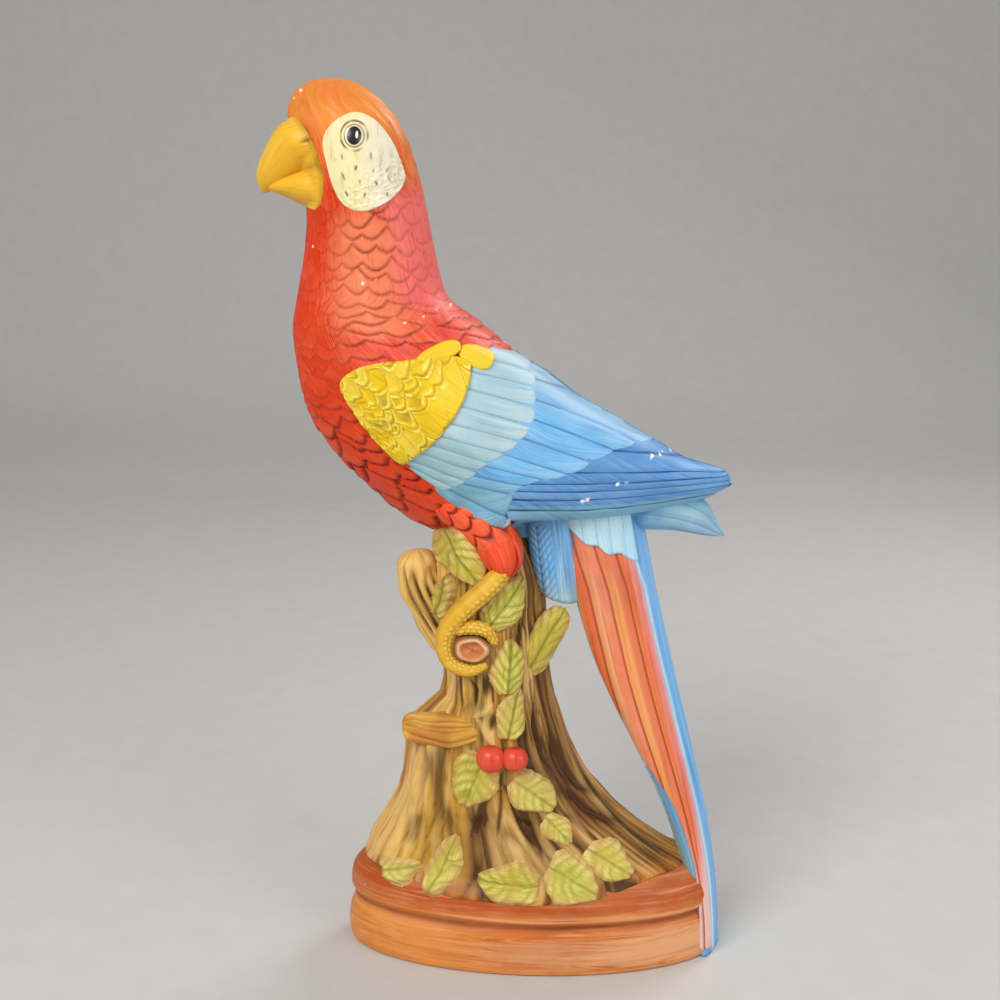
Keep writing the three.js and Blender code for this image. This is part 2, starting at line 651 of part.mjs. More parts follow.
function meets(a, b) {
  return [0, 1, 2].every((axis) => a.min[axis] < b.max[axis] && b.min[axis] < a.max[axis]);
}

function fit(name, group, colour, form, hollow) {
  let piece = form(0);
  for (const earlier of fitted) {
    if (meets(piece.boundingBox(), earlier.boundingBox())) piece = piece.subtract(earlier);
  }
  piece = largest(piece);
  if (hollow) piece = largest(hollow(piece));
  fitted.push(form(SEAM).add(piece));
  const geometry = geometryOf(largest(solid(geometryOf(piece))));
  geometry.translate(...group.position.clone().negate().toArray());
  geometry.computeVertexNormals();
  const [color, roughness] = paint[colour];
  const mesh = new THREE.Mesh(geometry, new THREE.MeshStandardMaterial({ color, roughness, metalness: 0 }));
  mesh.name = name;
  group.add(mesh);
}

const drain = DRAIN_DIAMETER / 2;
const sides = [["left", LEFT], ["right", RIGHT]];

fit("body_shell", birdGroup, "scarlet", featheredBird, (piece) =>
  piece
    .subtract(bird.form(-WALL, 0.2, 0.76, 9))
    .subtract(cylinder(drain, PERCH.z - WALL, PERCH.z + WALL * 4, PERCH.x)),
);
fit("tail", birdGroup, "navy", (grow) => tail.form(grow));
fit("base_plinth", figurine, "plinth", plinthForm, (piece) =>
  piece
    .subtract(plinthHollow().subtract(tail.form(WALL)))
    .subtract(cylinder(VENT_DIAMETER / 2, -WALL, WALL * 2, HALF_LENGTH * VENT_SHARE))
    .subtract(cylinder(drain, PLINTH_HEIGHT - WALL * 2, PLINTH_HEIGHT + WALL, STUMP_X)),
);
fit("tree_stump", stumpGroup, "bark", (grow) => stump.form(grow), (piece) =>
  piece
    .subtract(stump.hollow().subtract(tail.form(WALL)))
    .subtract(cylinder(drain, PERCH.z - WALL * 4, PERCH.z + WALL * 2, PERCH.x)),
);
fit("upper_branch_stub", stumpGroup, "bark", upperStub);
fit("lower_branch_stub", stumpGroup, "bark", lowerStub);
for (const [side, sign] of sides) fit(`${side}_knot`, stumpGroup, "bark", knot(sign));
for (const [side, sign] of sides) fit(`${side}_thigh`, birdGroup, "scarlet", thigh(sign));
fit("under_tail_coverts", birdGroup, "blue", (grow) => coverts.form(grow));
fit("rump_plume", birdGroup, "sky", (grow) => rumpPlume.form(grow));
const tierPaint = {
  shoulder_coverts: "yellow",
  wing_coverts: "sky",
  secondaries: "blue",
  primaries: "navy",
};
for (const [side, sign] of sides) {
  for (const [tier, outline] of Object.entries(wingTiers)) {
    const rise = tier === "shoulder_coverts" ? SHOULDER_RISE : WING_RISE;
    fit(`${side}_${tier}`, birdGroup, tierPaint[tier], pad(bird, sign, outline.map(fromPerch), rise));
  }
}
for (const [side, sign] of sides) fit(`${side}_foot`, birdGroup, "toe", foot(sign));
fit("upper_beak", birdGroup, "horn", (grow) => upperBeak.form(grow));
fit("lower_beak", birdGroup, "horn", (grow) => lowerBeak.form(grow));

// Rows of the red tail feathers, from the front edge to the blue ridge and back up
const featherRows = [0.14, 0.34, 0.5, 0.64, 0.78, 0.92].map((share) => tailRib(share));
const featherFront = featherRows.map(([x, z]) => [x + TAIL_FRONT_EDGE, z]);
const featherRidge = featherRows.map(([x, z, back]) => [lerp(back, x, 0.3), z]);
const featherOutline = [...featherFront, ...featherRidge.reverse()];
for (const [side, sign] of sides) {
  const eyeOutline = disc(fromPerch(eyeCentre), EYE_DIAMETER / 2);
  fit(`${side}_eye`, birdGroup, "eye", pad(bird, sign, eyeOutline, EYE_RISE));
  fit(`${side}_face_patch`, birdGroup, "cream", pad(bird, sign, facePatch.map(fromPerch), FACE_RISE));
  const feathers = pad(tail, sign, featherOutline, TAIL_FEATHER_RISE, 20);
  fit(`${side}_tail_feathers`, birdGroup, "orange", feathers);
}
fit("side_leaf", stumpGroup, "leaf", (grow) => sideLeaf.form(grow));
for (const [side, sign] of sides) {
  for (const [x, z, diameter, place] of berries) {
    const form = berry(STUMP_X + x * STUMP_LENGTH, z, diameter, sign);
    fit(`${side}_berry_${place}`, stumpGroup, "berry", form);
  }
  leaves.forEach(([x, z, length, width, tip, both], k) => {
    if (sign === RIGHT && !both) return;
    const middle = STUMP_X + x * STUMP_LENGTH;
    const outline = leafOutline(middle, z, length * LEAF_LENGTH, width * LEAF_WIDTH, tip);
    fit(`${side}_leaf_${k + 1}`, stumpGroup, "leaf", pad(stump, sign, outline, LEAF_RISE, 10));
  });
}

export default figurine;
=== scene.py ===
"""Looks of a painted earthenware macaw that perches on a tree stump, on an oval plinth with two rings.

Every surface is a grid of points worked out with numpy, in millimetres, and written as a mesh in metres.
The bird faces -X, so its left side is -Y, the side that the camera sees.
"""

import bpy
import numpy as np
from mathutils import Matrix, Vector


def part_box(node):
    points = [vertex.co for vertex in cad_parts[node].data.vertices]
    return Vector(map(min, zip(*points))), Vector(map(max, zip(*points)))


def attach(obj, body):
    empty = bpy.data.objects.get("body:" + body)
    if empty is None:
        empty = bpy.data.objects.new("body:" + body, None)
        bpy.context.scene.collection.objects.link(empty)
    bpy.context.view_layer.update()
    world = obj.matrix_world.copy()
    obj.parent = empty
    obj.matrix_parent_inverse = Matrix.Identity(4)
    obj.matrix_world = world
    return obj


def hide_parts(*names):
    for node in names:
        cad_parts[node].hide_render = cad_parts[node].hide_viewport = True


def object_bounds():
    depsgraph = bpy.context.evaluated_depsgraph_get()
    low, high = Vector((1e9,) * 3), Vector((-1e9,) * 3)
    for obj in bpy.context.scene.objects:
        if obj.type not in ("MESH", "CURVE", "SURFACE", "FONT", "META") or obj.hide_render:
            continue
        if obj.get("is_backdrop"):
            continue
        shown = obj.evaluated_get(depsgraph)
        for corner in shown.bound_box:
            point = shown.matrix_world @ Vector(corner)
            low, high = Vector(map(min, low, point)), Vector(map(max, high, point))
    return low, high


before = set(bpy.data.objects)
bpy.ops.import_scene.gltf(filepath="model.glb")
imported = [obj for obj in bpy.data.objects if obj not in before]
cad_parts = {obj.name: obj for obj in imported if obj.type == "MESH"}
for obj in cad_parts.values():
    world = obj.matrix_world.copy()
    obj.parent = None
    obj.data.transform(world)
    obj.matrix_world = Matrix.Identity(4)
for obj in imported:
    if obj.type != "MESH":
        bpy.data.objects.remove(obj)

cad_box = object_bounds()

# Sizes, in millimetres, from the frame and from the object
MM = 0.001
PLINTH_LOW, PLINTH_HIGH = (np.array(corner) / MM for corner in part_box("base_plinth"))
HALF_LENGTH = -PLINTH_LOW[0]
HALF_DEPTH = PLINTH_HIGH[1]
PLINTH_HEIGHT = PLINTH_HIGH[2]
STUMP_HEIGHT = 128.0
STUMP_X = -20.0
STUMP_LENGTH = 35.0
STUMP_DEPTH = 40.0
ROOT_INSET = 5.0
TAIL_ROOM = 12.0
ROOT_FADE = 33.0
ROOT_COUNT = 7
PERCH_X = STUMP_X
PERCH_Z = PLINTH_HEIGHT + STUMP_HEIGHT
BIRD_HEIGHT = cad_box[1][2] / MM - PERCH_Z
DRAWN = BIRD_HEIGHT / 100
HALF_HEAD = 20.5
HALF_NECK = 21.0
HALF_BODY = 32.5
TAIL_WIDTH = 32.0
TAIL_THICKNESS = 25.0
TAIL_FOOT_WIDTH = 9.0
TAIL_BOW = 4.5
TAIL_NARROWING = 0.56
TAIL_RUN = 170.0  # about the tail's height, for distances down it
COVERT_WIDTH = 25.0
RUMP_PLUME_WIDTH = 18.0
BEAK_WIDTH = 30.0
LEAF_LENGTH = 24.0
LEAF_WIDTH = 15.0
FRONT_BERRY = 10.4
REAR_BERRY = 9.4
BEAD = 2.3  # length of a bead on the feet
BEDDED = -1.4  # how deep the underside of a pressed piece lies in what carries it
RIDGE_TURN = 0.04  # radians by which a wing stays clear of the bird's middle line
LEFT = -1
RIGHT = 1
SIDES = (("left", LEFT), ("right", RIGHT))


# Curves, noise and forms

def cubic(a, b, c, d, f):
    """Point at a share f of a stretch from b to c: the cubic whose slope at each is half the chord of its
    neighbours, a uniform Catmull-Rom curve."""
    return b + f * ((c - a) + f * ((2 * a - 5 * b + 4 * c - d) + f * (3 * b - a - 3 * c + d))) / 2


def spline(points, share):
    """Point at a share of a smooth curve through the points, the end points mirrored to give the
    neighbours that the ends lack."""
    p = np.asarray(points, float)
    p = np.concatenate([2 * p[:1] - p[1:2], p, 2 * p[-1:] - p[-2:-1]])
    x = np.clip(share, 0, 1) * (len(p) - 3)
    k = np.minimum(x.astype(int), len(p) - 4)
    return cubic(p[k], p[k + 1], p[k + 2], p[k + 3], (x - k)[..., None])


def ring_spline(points, share):
    """Point at a share of a smooth closed curve: the same cubic, with the list taken round and round."""
    p = np.asarray(points, float)
    x = np.mod(share, 1) * len(p)
    k = x.astype(int)
    return cubic(*(p[(k + shift) % len(p)] for shift in (-1, 0, 1, 2)), (x - k)[..., None])


def smooth(low, high, value):
    """0 below low and 1 above high, with the cubic 3q^2 - 2q^3 between."""
    q = unit((value - low) / (high - low))
    return q * q * (3 - 2 * q)


def lerp(a, b, share):
    return a + (b - a) * share


def unit(value):
    return np.clip(value, 0, 1)


def bell(distance, width):
    """1 at no distance, falling to 1/e at the width: e to the power of minus the square of their ratio."""
    return np.exp(-((distance / width) ** 2))


def stack(*parts):
    return np.stack(np.broadcast_arrays(*parts), axis=-1)


def ring_grid(low, high, steps, around):
    """Grids of a share from low to high, and of a turn through a whole circle."""
    turn = np.linspace(0, 2 * np.pi, around, endpoint=False)
    return np.meshgrid(np.linspace(low, high, steps), turn, indexing="ij")


def hashed(*cells):
    """Number from 0 to 1 for each set of whole numbers, scrambled by large primes, the same on every run."""
    primes = (73856093, 19349663, 83492791, 49979687)
    bits = 0
    for cell, prime in zip(cells, primes):
        bits = bits ^ (np.asarray(cell).astype(np.int64) * prime)
    bits = (bits ^ (bits >> 13)) * 1274126177
    return ((bits ^ (bits >> 16)) & 0xFFFF) / 65535.0


def noise(points, size, seed=0):
    """Smooth random number from 0 to 1 at each point: hashed corners of cells of a size, blended in 3-D."""
    p = np.asarray(points, float) / np.asarray(size, float)
    cell = np.floor(p)
    f = p - cell
    f = f * f * (3 - 2 * f)
    total = 0
    for corner in np.ndindex(2, 2, 2):
        share = np.prod(np.where(corner, f, 1 - f), axis=-1)
        at = cell + corner
        total = total + share * hashed(at[..., 0], at[..., 1], at[..., 2], seed)
    return total


def from_perch(points):
    """Millimetres of points drawn from the perch in hundredths of the bird's height."""
    return np.asarray(points, float) * DRAWN + [PERCH_X, PERCH_Z]


def to_perch(xz):
    """Hundredths of the bird's height, from the perch, of points in millimetres."""
    return (xz - [PERCH_X, PERCH_Z]) / DRAWN


def turned(along, across, angle):
    """Offsets along and across a line at an angle, as x and z."""
    c, s = np.cos(angle), np.sin(angle)
    return stack(along * c - across * s, along * s + across * c)


def ribs_from_perch(ribs):
    """Ribs drawn from the perch, front and back points in hundredths of the bird's height."""
    table = np.array(ribs, float)
    table[:, 0:4] = from_perch(table[:, 0:4].reshape(-1, 2, 2)).reshape(-1, 4)
    return table


class RibForm:
    """A form drawn in side view: ribs join a front point to a back point, and each has a half width.

    The skin runs round every rib as an oval, whose width section(c) changes between the front, c = -1,
    and the back, c = 1.
    """

    def __init__(self, ribs, section=np.ones_like, y=0.0):
        self.ribs = np.asarray(ribs, float)
        self.section = section
        self.y = y

    def rib(self, share):
        """Middle, direction, half width and half length of the rib at a share of the ribs."""
        table = spline(self.ribs, share)
        front, back = table[..., 0:2], table[..., 2:4]
        reach = np.linalg.norm(back - front, axis=-1) / 2
        along = (back - front) / np.maximum(2 * reach, 1e-9)[..., None]
        return (front + back) / 2, along, np.maximum(table[..., 4], 0), reach

    def point(self, share, turn, lift=0.0, side=RIGHT):
        """Point of the skin at a turn that is 0 at the back and half a turn at the front.

        The oval's point is the rib's middle, plus reach times cos along the rib and half width times sin
        across it, and lift moves it along the oval's own normal.
        """
        middle, along, half, reach = self.rib(share)
        c, s = np.cos(turn), np.sin(turn)
        normal = np.maximum(np.hypot(c * half, s * reach), 1e-9)
        out = reach * c + lift * c * half / normal
        across = half * s * self.section(c) + lift * s * reach / normal
        x = middle[..., 0] + along[..., 0] * out
        z = middle[..., 1] + along[..., 1] * out
        return stack(x, self.y + side * across, z)

    def locate(self, xz):
        """Share and turn of the skin's point that side view shows at x, z, by halving the range of ribs."""
        x, z = xz[..., 0], xz[..., 1]
        low = np.full(x.shape, 0.004)
        high = np.full(x.shape, 0.996)
        for _ in range(26):
            share = (low + high) / 2
            table = spline(self.ribs, share)
            ahead = (table[..., 2] - table[..., 0]) * (z - table[..., 1])
            ahead = ahead - (table[..., 3] - table[..., 1]) * (x - table[..., 0]) < 0
            low = np.where(ahead, share, low)
            high = np.where(ahead, high, share)
        middle, along, _, reach = self.rib(low)
        c = ((x - middle[..., 0]) * along[..., 0] + (z - middle[..., 1]) * along[..., 1]) / reach
        edge = np.cos(RIDGE_TURN)
        return low, np.arccos(np.clip(c, -edge, edge))


class Stump:
    """Level ovals whose spread falls away from the roots' tips on the plinth."""

    def oval(self, z):
        fade = np.minimum(np.exp((PLINTH_HEIGHT - z) / ROOT_FADE), 1)
        taper = 6 * smooth(PERCH_Z - 18, PERCH_Z + 10, z)
        low = lerp(STUMP_X - STUMP_LENGTH / 2, ROOT_INSET - HALF_LENGTH, fade)
        high = lerp(STUMP_X + STUMP_LENGTH / 2, HALF_LENGTH - TAIL_ROOM, fade) - taper
        depth = lerp(STUMP_DEPTH / 2, HALF_DEPTH - ROOT_INSET, fade) - taper / 3
        return (low + high) / 2, (high - low) / 2, depth, fade

    def point(self, z, turn, lift=0.0, side=RIGHT):
        """Point of the level oval at height z, with seven furrows a side and a lift straight out. Below the
        plinth's top the roots' ends follow its rounded rim."""
        x, length, depth, fade = self.oval(z)
        from_tail = np.arccos(np.cos(turn))
        deep = lerp(0.8, 2, fade) * smooth(PLINTH_HEIGHT - 6, PLINTH_HEIGHT + 5, z)
        furrow = deep * np.cos(ROOT_COUNT * from_tail + z / ROOT_FADE)
        rim = np.interp(z - PLINTH_HEIGHT, (-9, -6, -2.4, 0), (4.6, 3.7, 1.2, 0))
        out = furrow + lift + rim
        return stack(x + (length + out) * np.cos(turn), side * (depth + out) * np.sin(turn), z)

    def locate(self, xz):
        x, length, _, _ = self.oval(xz[..., 1])
        return xz[..., 1], np.arccos(np.clip((xz[..., 0] - x) / length, -0.99, 0.99))


# Meshes

def tube(rings):
    """Points and faces of a closed tube: rings[i, j] runs round j, and a middle point closes each end."""
    steps, around = rings.shape[:2]
    points = np.concatenate([rings.reshape(-1, 3), rings[:1].mean(axis=1), rings[-1:].mean(axis=1)])
    i, j = np.meshgrid(np.arange(steps - 1), np.arange(around), indexing="ij")
    k = (j + 1) % around
    quads = stack(i * around + j, i * around + k, (i + 1) * around + k, (i + 1) * around + j)
    ring = np.arange(around)
    after = (ring + 1) % around
    last = (steps - 1) * around
    start_fan = stack(after, ring, np.full(around, steps * around))
    end_fan = stack(last + ring, last + after, np.full(around, steps * around + 1))
    return points, [quads.reshape(-1, 4), np.concatenate([start_fan, end_fan])]


def on_tube(values, steps, around):
    """Channel values of a tube's grid, with the mean of the end rings at the two middle points."""
    grid = np.broadcast_to(values, (steps, around))
    return np.concatenate([grid.ravel(), [grid[0].mean(), grid[-1].mean()]])


def slab(top, under):
    """Points and faces of a thin closed piece: a top grid and an underside that share their border."""
    rows, columns = top.shape[:2]
    inner = np.zeros((rows, columns), bool)
    inner[1:-1, 1:-1] = True
    upper = np.arange(rows * columns).reshape(rows, columns)
    lower = upper.copy()
    lower[inner] = rows * columns + np.arange(inner.sum())
    points = np.concatenate([top.reshape(-1, 3), under[inner]])
    faces = []
    for grid in (upper, lower[:, ::-1]):
        quad = stack(grid[:-1, :-1], grid[:-1, 1:], grid[1:, 1:], grid[1:, :-1])
        faces.append(quad.reshape(-1, 4))
    return points, faces


def on_slab(values, rows, columns):
    """Channel values of a slab's top grid, with nought on the hidden underside."""
    grid = np.broadcast_to(values, (rows, columns))
    return np.concatenate([grid.ravel(), np.zeros((rows - 2) * (columns - 2))])


def piece(name, shape, channels, material, slot, *nodes):
    """Writes a closed shape as a smooth mesh whose channels the paint reads, and ties it to the frame.

    The faces are turned to point out if the volume under them, a sixth of the sum of the triple products
    of their corners, comes out negative.
    """
    points, faces = shape
    volume = 0.0
    for face in faces:
        for k in range(1, face.shape[1] - 1):
            a, b, c = points[face[:, 0]], points[face[:, k]], points[face[:, k + 1]]
            volume += np.einsum("ij,ij->", a, np.cross(b, c))
    if volume < 0:
        faces = [face[:, ::-1] for face in faces]
    corners = np.concatenate([face.ravel() for face in faces])
    sizes = np.concatenate([np.full(len(face), face.shape[1]) for face in faces])
    mesh = bpy.data.meshes.new(name)
    mesh.vertices.add(len(points))
    mesh.vertices.foreach_set("co", (points * MM).ravel())
    mesh.loops.add(len(corners))
    mesh.loops.foreach_set("vertex_index", corners)
    mesh.polygons.add(len(sizes))
    mesh.polygons.foreach_set("loop_start", np.cumsum(sizes) - sizes)
    mesh.polygons.foreach_set("use_smooth", np.ones(len(sizes), bool))
    for key, values in channels.items():
        vector = values.ndim == 2
        attribute = mesh.attributes.new(key, "FLOAT_VECTOR" if vector else "FLOAT", "POINT")
        attribute.data.foreach_set("vector" if vector else "value", values.ravel())
    mesh.update(calc_edges=True)
    mesh.validate()
    mesh.materials.append(material)
    made = bpy.data.objects.new(name, mesh)
    bpy.context.scene.collection.objects.link(made)
    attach(made, "root")
    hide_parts(*nodes)


def spread_channels(channels, spread):
    """Channels with a value for each point; the tint lies beside the two grids of flow, in millimetres."""
    flow = (*channels["flow"], channels.get("tint", 0.0))
    flat = {key: spread(grid) for key, grid in channels.items() if key != "flow"}
    return {"flow": stack(*map(spread, flow)), **flat}


def tube_piece(name, rings, channels, *ties):
    """Piece from a tube's rings and its channel grids; ties are its material, its slot, which is not used,
    and its nodes.
    """
    size = rings.shape[:2]
    piece(name, tube(rings), spread_channels(channels, lambda grid: on_tube(grid, *size)), *ties)


def slab_piece(name, sheet, channels, *ties):
    """Piece from a slab's top and underside and its channel grids."""
    size = sheet[0].shape[:2]
    piece(name, slab(*sheet), spread_channels(channels, lambda grid: on_slab(grid, *size)), *ties)


def laid(form, at, turn, side, lift, edge, swell=0.0):
    """Top and underside of a sheet laid on a form: bedded at its border and lifted inside it."""
    top = form.point(at, turn, lerp(BEDDED, lift, edge) + swell, side)
    return top, form.point(at, turn, BEDDED - 0.4 * edge + swell, side)


def shingles(row, column, droop, sharp=1.7, jitter=0.2, seed=1):
    """Overlapping tongues in staggered rows, each row lying over the next.

    The lower edge of a tongue of row i hangs at i + 1 less droop times a power of the distance from its
    middle line in half widths. Returns how many rows a point lies below the edge of the row above it and
    above its own tongue's edge, and a random tint for each tongue.
    """
    def edge(i):
        shift = 0.5 * np.mod(i, 2)
        first = np.floor(column - shift)
        lowest = np.full(column.shape, -1e9)
        tint = np.zeros(column.shape)
        for j in (first, first + 1):
            middle = j + shift + jitter * (hashed(i, j, seed) - 0.5)
            hang = i + 1 + jitter * (hashed(i, j, seed + 7) - 0.5)
            hang = hang - droop * np.abs(2 * (column - middle)) ** sharp
            tint = np.where(hang > lowest, hashed(i, j, seed + 13), tint)
            lowest = np.maximum(hang, lowest)
        return lowest, tint

    base = np.floor(row)
    edges = [edge(base + shift) for shift in (-2, -1, 0, 1)]
    below, tint = edges[3]
    above = edges[2][0]
    for k in (2, 1):
        covered = row <= edges[k][0]
        below = np.where(covered, edges[k][0], below)
        above = np.where(covered, edges[k - 1][0], above)
        tint = np.where(covered, edges[k][1], tint)
    return np.maximum(row - above, 0), np.maximum(below - row, 0), tint


def cells(u, v, seed):
    """How much nearer the nearest of points scattered one to each unit square is than the next one: nought
    on the borders between their cells."""
    near = np.full(u.shape, 9.0)
    second = near.copy()
    for i, j in np.ndindex(3, 3):
        a, b = np.floor(u) + i - 1, np.floor(v) + j - 1
        x = a + 0.5 + 0.8 * (hashed(a, b, seed) - 0.5)
        y = b + 0.5 + 0.8 * (hashed(a, b, seed + 5) - 0.5)
        away = np.hypot(u - x, v - y)
        second = np.where(away < near, near, np.minimum(second, away))
        near = np.minimum(near, away)
    return second - near


def inside(outline, xz):
    """Whether each point lies in a closed outline: a level ray from it crosses the outline an odd number
    of times."""
    found = np.zeros(xz.shape[:-1], bool)
    x, z = xz[..., 0], xz[..., 1]
    for (x0, z0), (x1, z1) in zip(outline, np.roll(outline, -1, axis=0)):
        crosses = (z0 > z) != (z1 > z)
        found ^= crosses & (x < x0 + (z - z0) / (z1 - z0 + 1e-9) * (x1 - x0))
    return found


def spots(xz, centres, radius):
    """Soft round spots at drawn places: 1 in the middle of each and 1/e at the radius."""
    total = np.zeros(xz.shape[:-1])
    for centre in from_perch(centres):
        total = np.maximum(total, bell(np.linalg.norm(xz - centre, axis=-1), radius))
    return total


def strokes(xz, lines, width):
    """Soft lines through points in side view, tapering to their ends: 1 on a line, 1/e at the width."""
    total = np.zeros(xz.shape[:-1])
    for line in lines:
        points = np.array(line, float)
        for k, (a, b) in enumerate(zip(points[:-1], points[1:])):
            share = unit(((xz - a) @ (b - a)) / ((b - a) @ (b - a)))
            away = np.linalg.norm(xz - a - share[..., None] * (b - a), axis=-1)
            taper = np.sin(np.pi * np.clip((k + share) / (len(points) - 1), 0.02, 0.98)) ** 0.5
            total = np.maximum(total, taper * bell(away, width * taper))
    return total


# Forms of the bird, the tail and the stump, as in the CAD model

bird = RibForm(
    ribs_from_perch([
        [-34.8, 100, -34.8, 100, 0],
        [-39.6, 99.2, -29.7, 99, HALF_HEAD * 0.37],
        [-43.5, 96.5, -24.8, 95.9, HALF_HEAD * 0.66],
        [-44.5, 90.8, -19.9, 90.1, HALF_HEAD * 0.89],
        [-42.7, 81.7, -16.6, 80.8, HALF_HEAD],
        [-40.9, 72.3, -14.5, 72.6, (HALF_HEAD + HALF_NECK) / 2],
        [-41.4, 63.6, -12.7, 63.6, HALF_NECK],
        [-43, 54.5, -10, 54.5, (HALF_NECK * 3 + HALF_BODY) / 4],
        [-44.1, 46.6, -3.3, 49, HALF_BODY * 0.86],
        [-43.3, 38.7, 6.5, 41.2, HALF_BODY * 0.95],
        [-41.3, 29.1, 16.9, 32.7, HALF_BODY],
        [-36.3, 20.9, 24.8, 28.1, HALF_BODY],
        [-28.4, 12.5, 31.5, 24.3, HALF_BODY * 0.95],
        [-16.3, 3.3, 37.5, 21.2, HALF_BODY * 0.86],
        [0, -0.6, 43, 18.5, HALF_BODY * 0.69],
        [20.6, 2.2, 47.8, 17.4, HALF_BODY * 0.48],
        [39.4, 7, 52, 16.2, HALF_BODY * 0.27],
        [49.2, 10.2, 54, 15, HALF_BODY * 0.14],
        [54.4, 12.8, 54.4, 12.8, 0],
    ]),
    section=lambda c: 1 + 0.3 * np.minimum(c, 0),
)

TAIL_TOP_X, TAIL_TOP_Z = from_perch([[35.4, 3]])[0]
TAIL_FOOT_HALF = HALF_DEPTH * np.sqrt(1 - ((HALF_LENGTH - TAIL_FOOT_WIDTH) / HALF_LENGTH) ** 2)


def tail_edges(share):
    """Ridge x, height, width and half thickness of the tail at a share of its length."""
    s = np.maximum(share, 0)
    ridge = lerp(TAIL_TOP_X, HALF_LENGTH, share) + TAIL_BOW * np.sin(np.pi * s * s)
    width = lerp(TAIL_FOOT_WIDTH, TAIL_WIDTH, 1 / (1 + (s / TAIL_NARROWING) ** 4))
    half = lerp(TAIL_THICKNESS / 2, TAIL_FOOT_HALF, s**3)
    return ridge, lerp(TAIL_TOP_Z, 0, share), width, half


def tail_ribs():
    share = np.concatenate([[-0.08], np.linspace(0, 1, 11)])
    ridge, z, width, half = tail_edges(share)
    return stack(ridge - width, z, ridge, z, half)


tail_form = RibForm(tail_ribs(), section=lambda c: 0.9 - 0.45 * c)
coverts_form = RibForm(
    ribs_from_perch([
        [7.2, 6, 20.6, 6, COVERT_WIDTH * 0.53],
        [8.4, 0, 20.6, 0, COVERT_WIDTH * 0.53],
        [9.3, -6, 20.6, -6, COVERT_WIDTH * 0.52],
        [11, -10.8, 20.6, -11.2, COVERT_WIDTH * 0.5],
        [12.8, -13, 20.2, -14.2, COVERT_WIDTH * 0.44],
        [16.5, -14.6, 16.5, -14.6, 0],
    ]),
    section=lambda c: np.maximum(1 - c * c, 0.02) ** -0.22,
)
rump_form = RibForm(ribs_from_perch([
    [30.3, 6, 30.3, 6, 0],
    [34.6, 2.8, 36.3, 12, RUMP_PLUME_WIDTH / 2],
    [41, 2.3, 44.5, 11, RUMP_PLUME_WIDTH * 0.42],
    [47.2, 1.4, 49.3, 8.6, RUMP_PLUME_WIDTH * 0.3],
    [50.8, 1, 51.4, 5.2, RUMP_PLUME_WIDTH * 0.17],
    [53.7, 1, 53.7, 1, 0],
]))
upper_beak_form = RibForm(ribs_from_perch([
    [-42.4, 92.2, -36.4, 80.9, BEAK_WIDTH * 0.46],
    [-44.6, 91.2, -38.4, 80.4, BEAK_WIDTH * 0.45],
    [-47.2, 89.3, -40.9, 79.6, BEAK_WIDTH * 0.37],
    [-50.2, 84, -44.2, 78.1, BEAK_WIDTH * 0.25],
    [-51.5, 79.3, -47.5, 76.6, BEAK_WIDTH * 0.13],
    [-50.6, 75.8, -50.6, 75.8, 0],
]))
lower_beak_form = RibForm(ribs_from_perch([
    [-37.2, 71.8, -36.4, 82, BEAK_WIDTH * 0.42],
    [-39.4, 72.3, -38.6, 81.8, BEAK_WIDTH * 0.4],
    [-42.8, 73.8, -42, 80.9, BEAK_WIDTH * 0.33],
    [-46, 75.2, -45.9, 79.2, BEAK_WIDTH * 0.23],
    [-48.2, 75.9, -48.4, 77.8, BEAK_WIDTH * 0.13],
    [-49.4, 76.6, -49.4, 76.6, 0],
]))
side_leaf_form = RibForm(
    ribs_from_perch([
        [5.6, -29.6, 10.6, -32, 4],
        [7.4, -25.4, 13.2, -29.2, 5.5],
        [9.4, -21, 15.6, -24.8, 5.5],
        [12.2, -16.8, 17.8, -20.4, 4.5],
        [15, -14.8, 18.5, -17.4, 3],
        [17.5, -15, 17.5, -15, 0],
    ]),
    y=-STUMP_DEPTH / 4,
)
stump_form = Stump()


# Materials

def linear(code):
    """Scene-linear colour of an sRGB hex code."""
    value = np.array([int(code[k:k + 2], 16) for k in (1, 3, 5)]) / 255
    value = np.where(value <= 0.04045, value / 12.92, ((value + 0.055) / 1.055) ** 2.4)
    return (*value.tolist(), 1.0)


def wire(tree, node, inputs):
    """Links an input to its value if that is a socket, and sets it otherwise."""
    for key, value in inputs.items():
        if isinstance(value, bpy.types.NodeSocket):
            tree.links.new(value, node.inputs[key])
        else:
            node.inputs[key].default_value = value


def add(tree, kind, inputs=None, **settings):
    """Adds a node with its settings and its inputs."""
    made = tree.nodes.new(kind)
    for key, value in settings.items():
        setattr(made, key, value)
    wire(tree, made, inputs or {})
    return made


def new_material(name):
    """A new material, its node tree, its shader and its object coordinates."""
    material = bpy.data.materials.new(name)
    material.use_nodes = True
    tree = material.node_tree
    return material, tree, tree.nodes["Principled BSDF"], add(tree, "ShaderNodeTexCoord").outputs["Object"]


def channel(tree, key, output="Fac"):
    return add(tree, "ShaderNodeAttribute", attribute_name=key).outputs[output]


def cloud(tree, vector, scale, detail, roughness=0.5):
    inputs = {"Vector": vector, "Scale": scale, "Detail": detail, "Roughness": roughness}
    return add(tree, "ShaderNodeTexNoise", inputs).outputs["Fac"]


def mixed(tree, share, colour, other):
    return add(tree, "ShaderNodeMix", {0: share, 6: colour, 7: other}, data_type="RGBA").outputs[2]


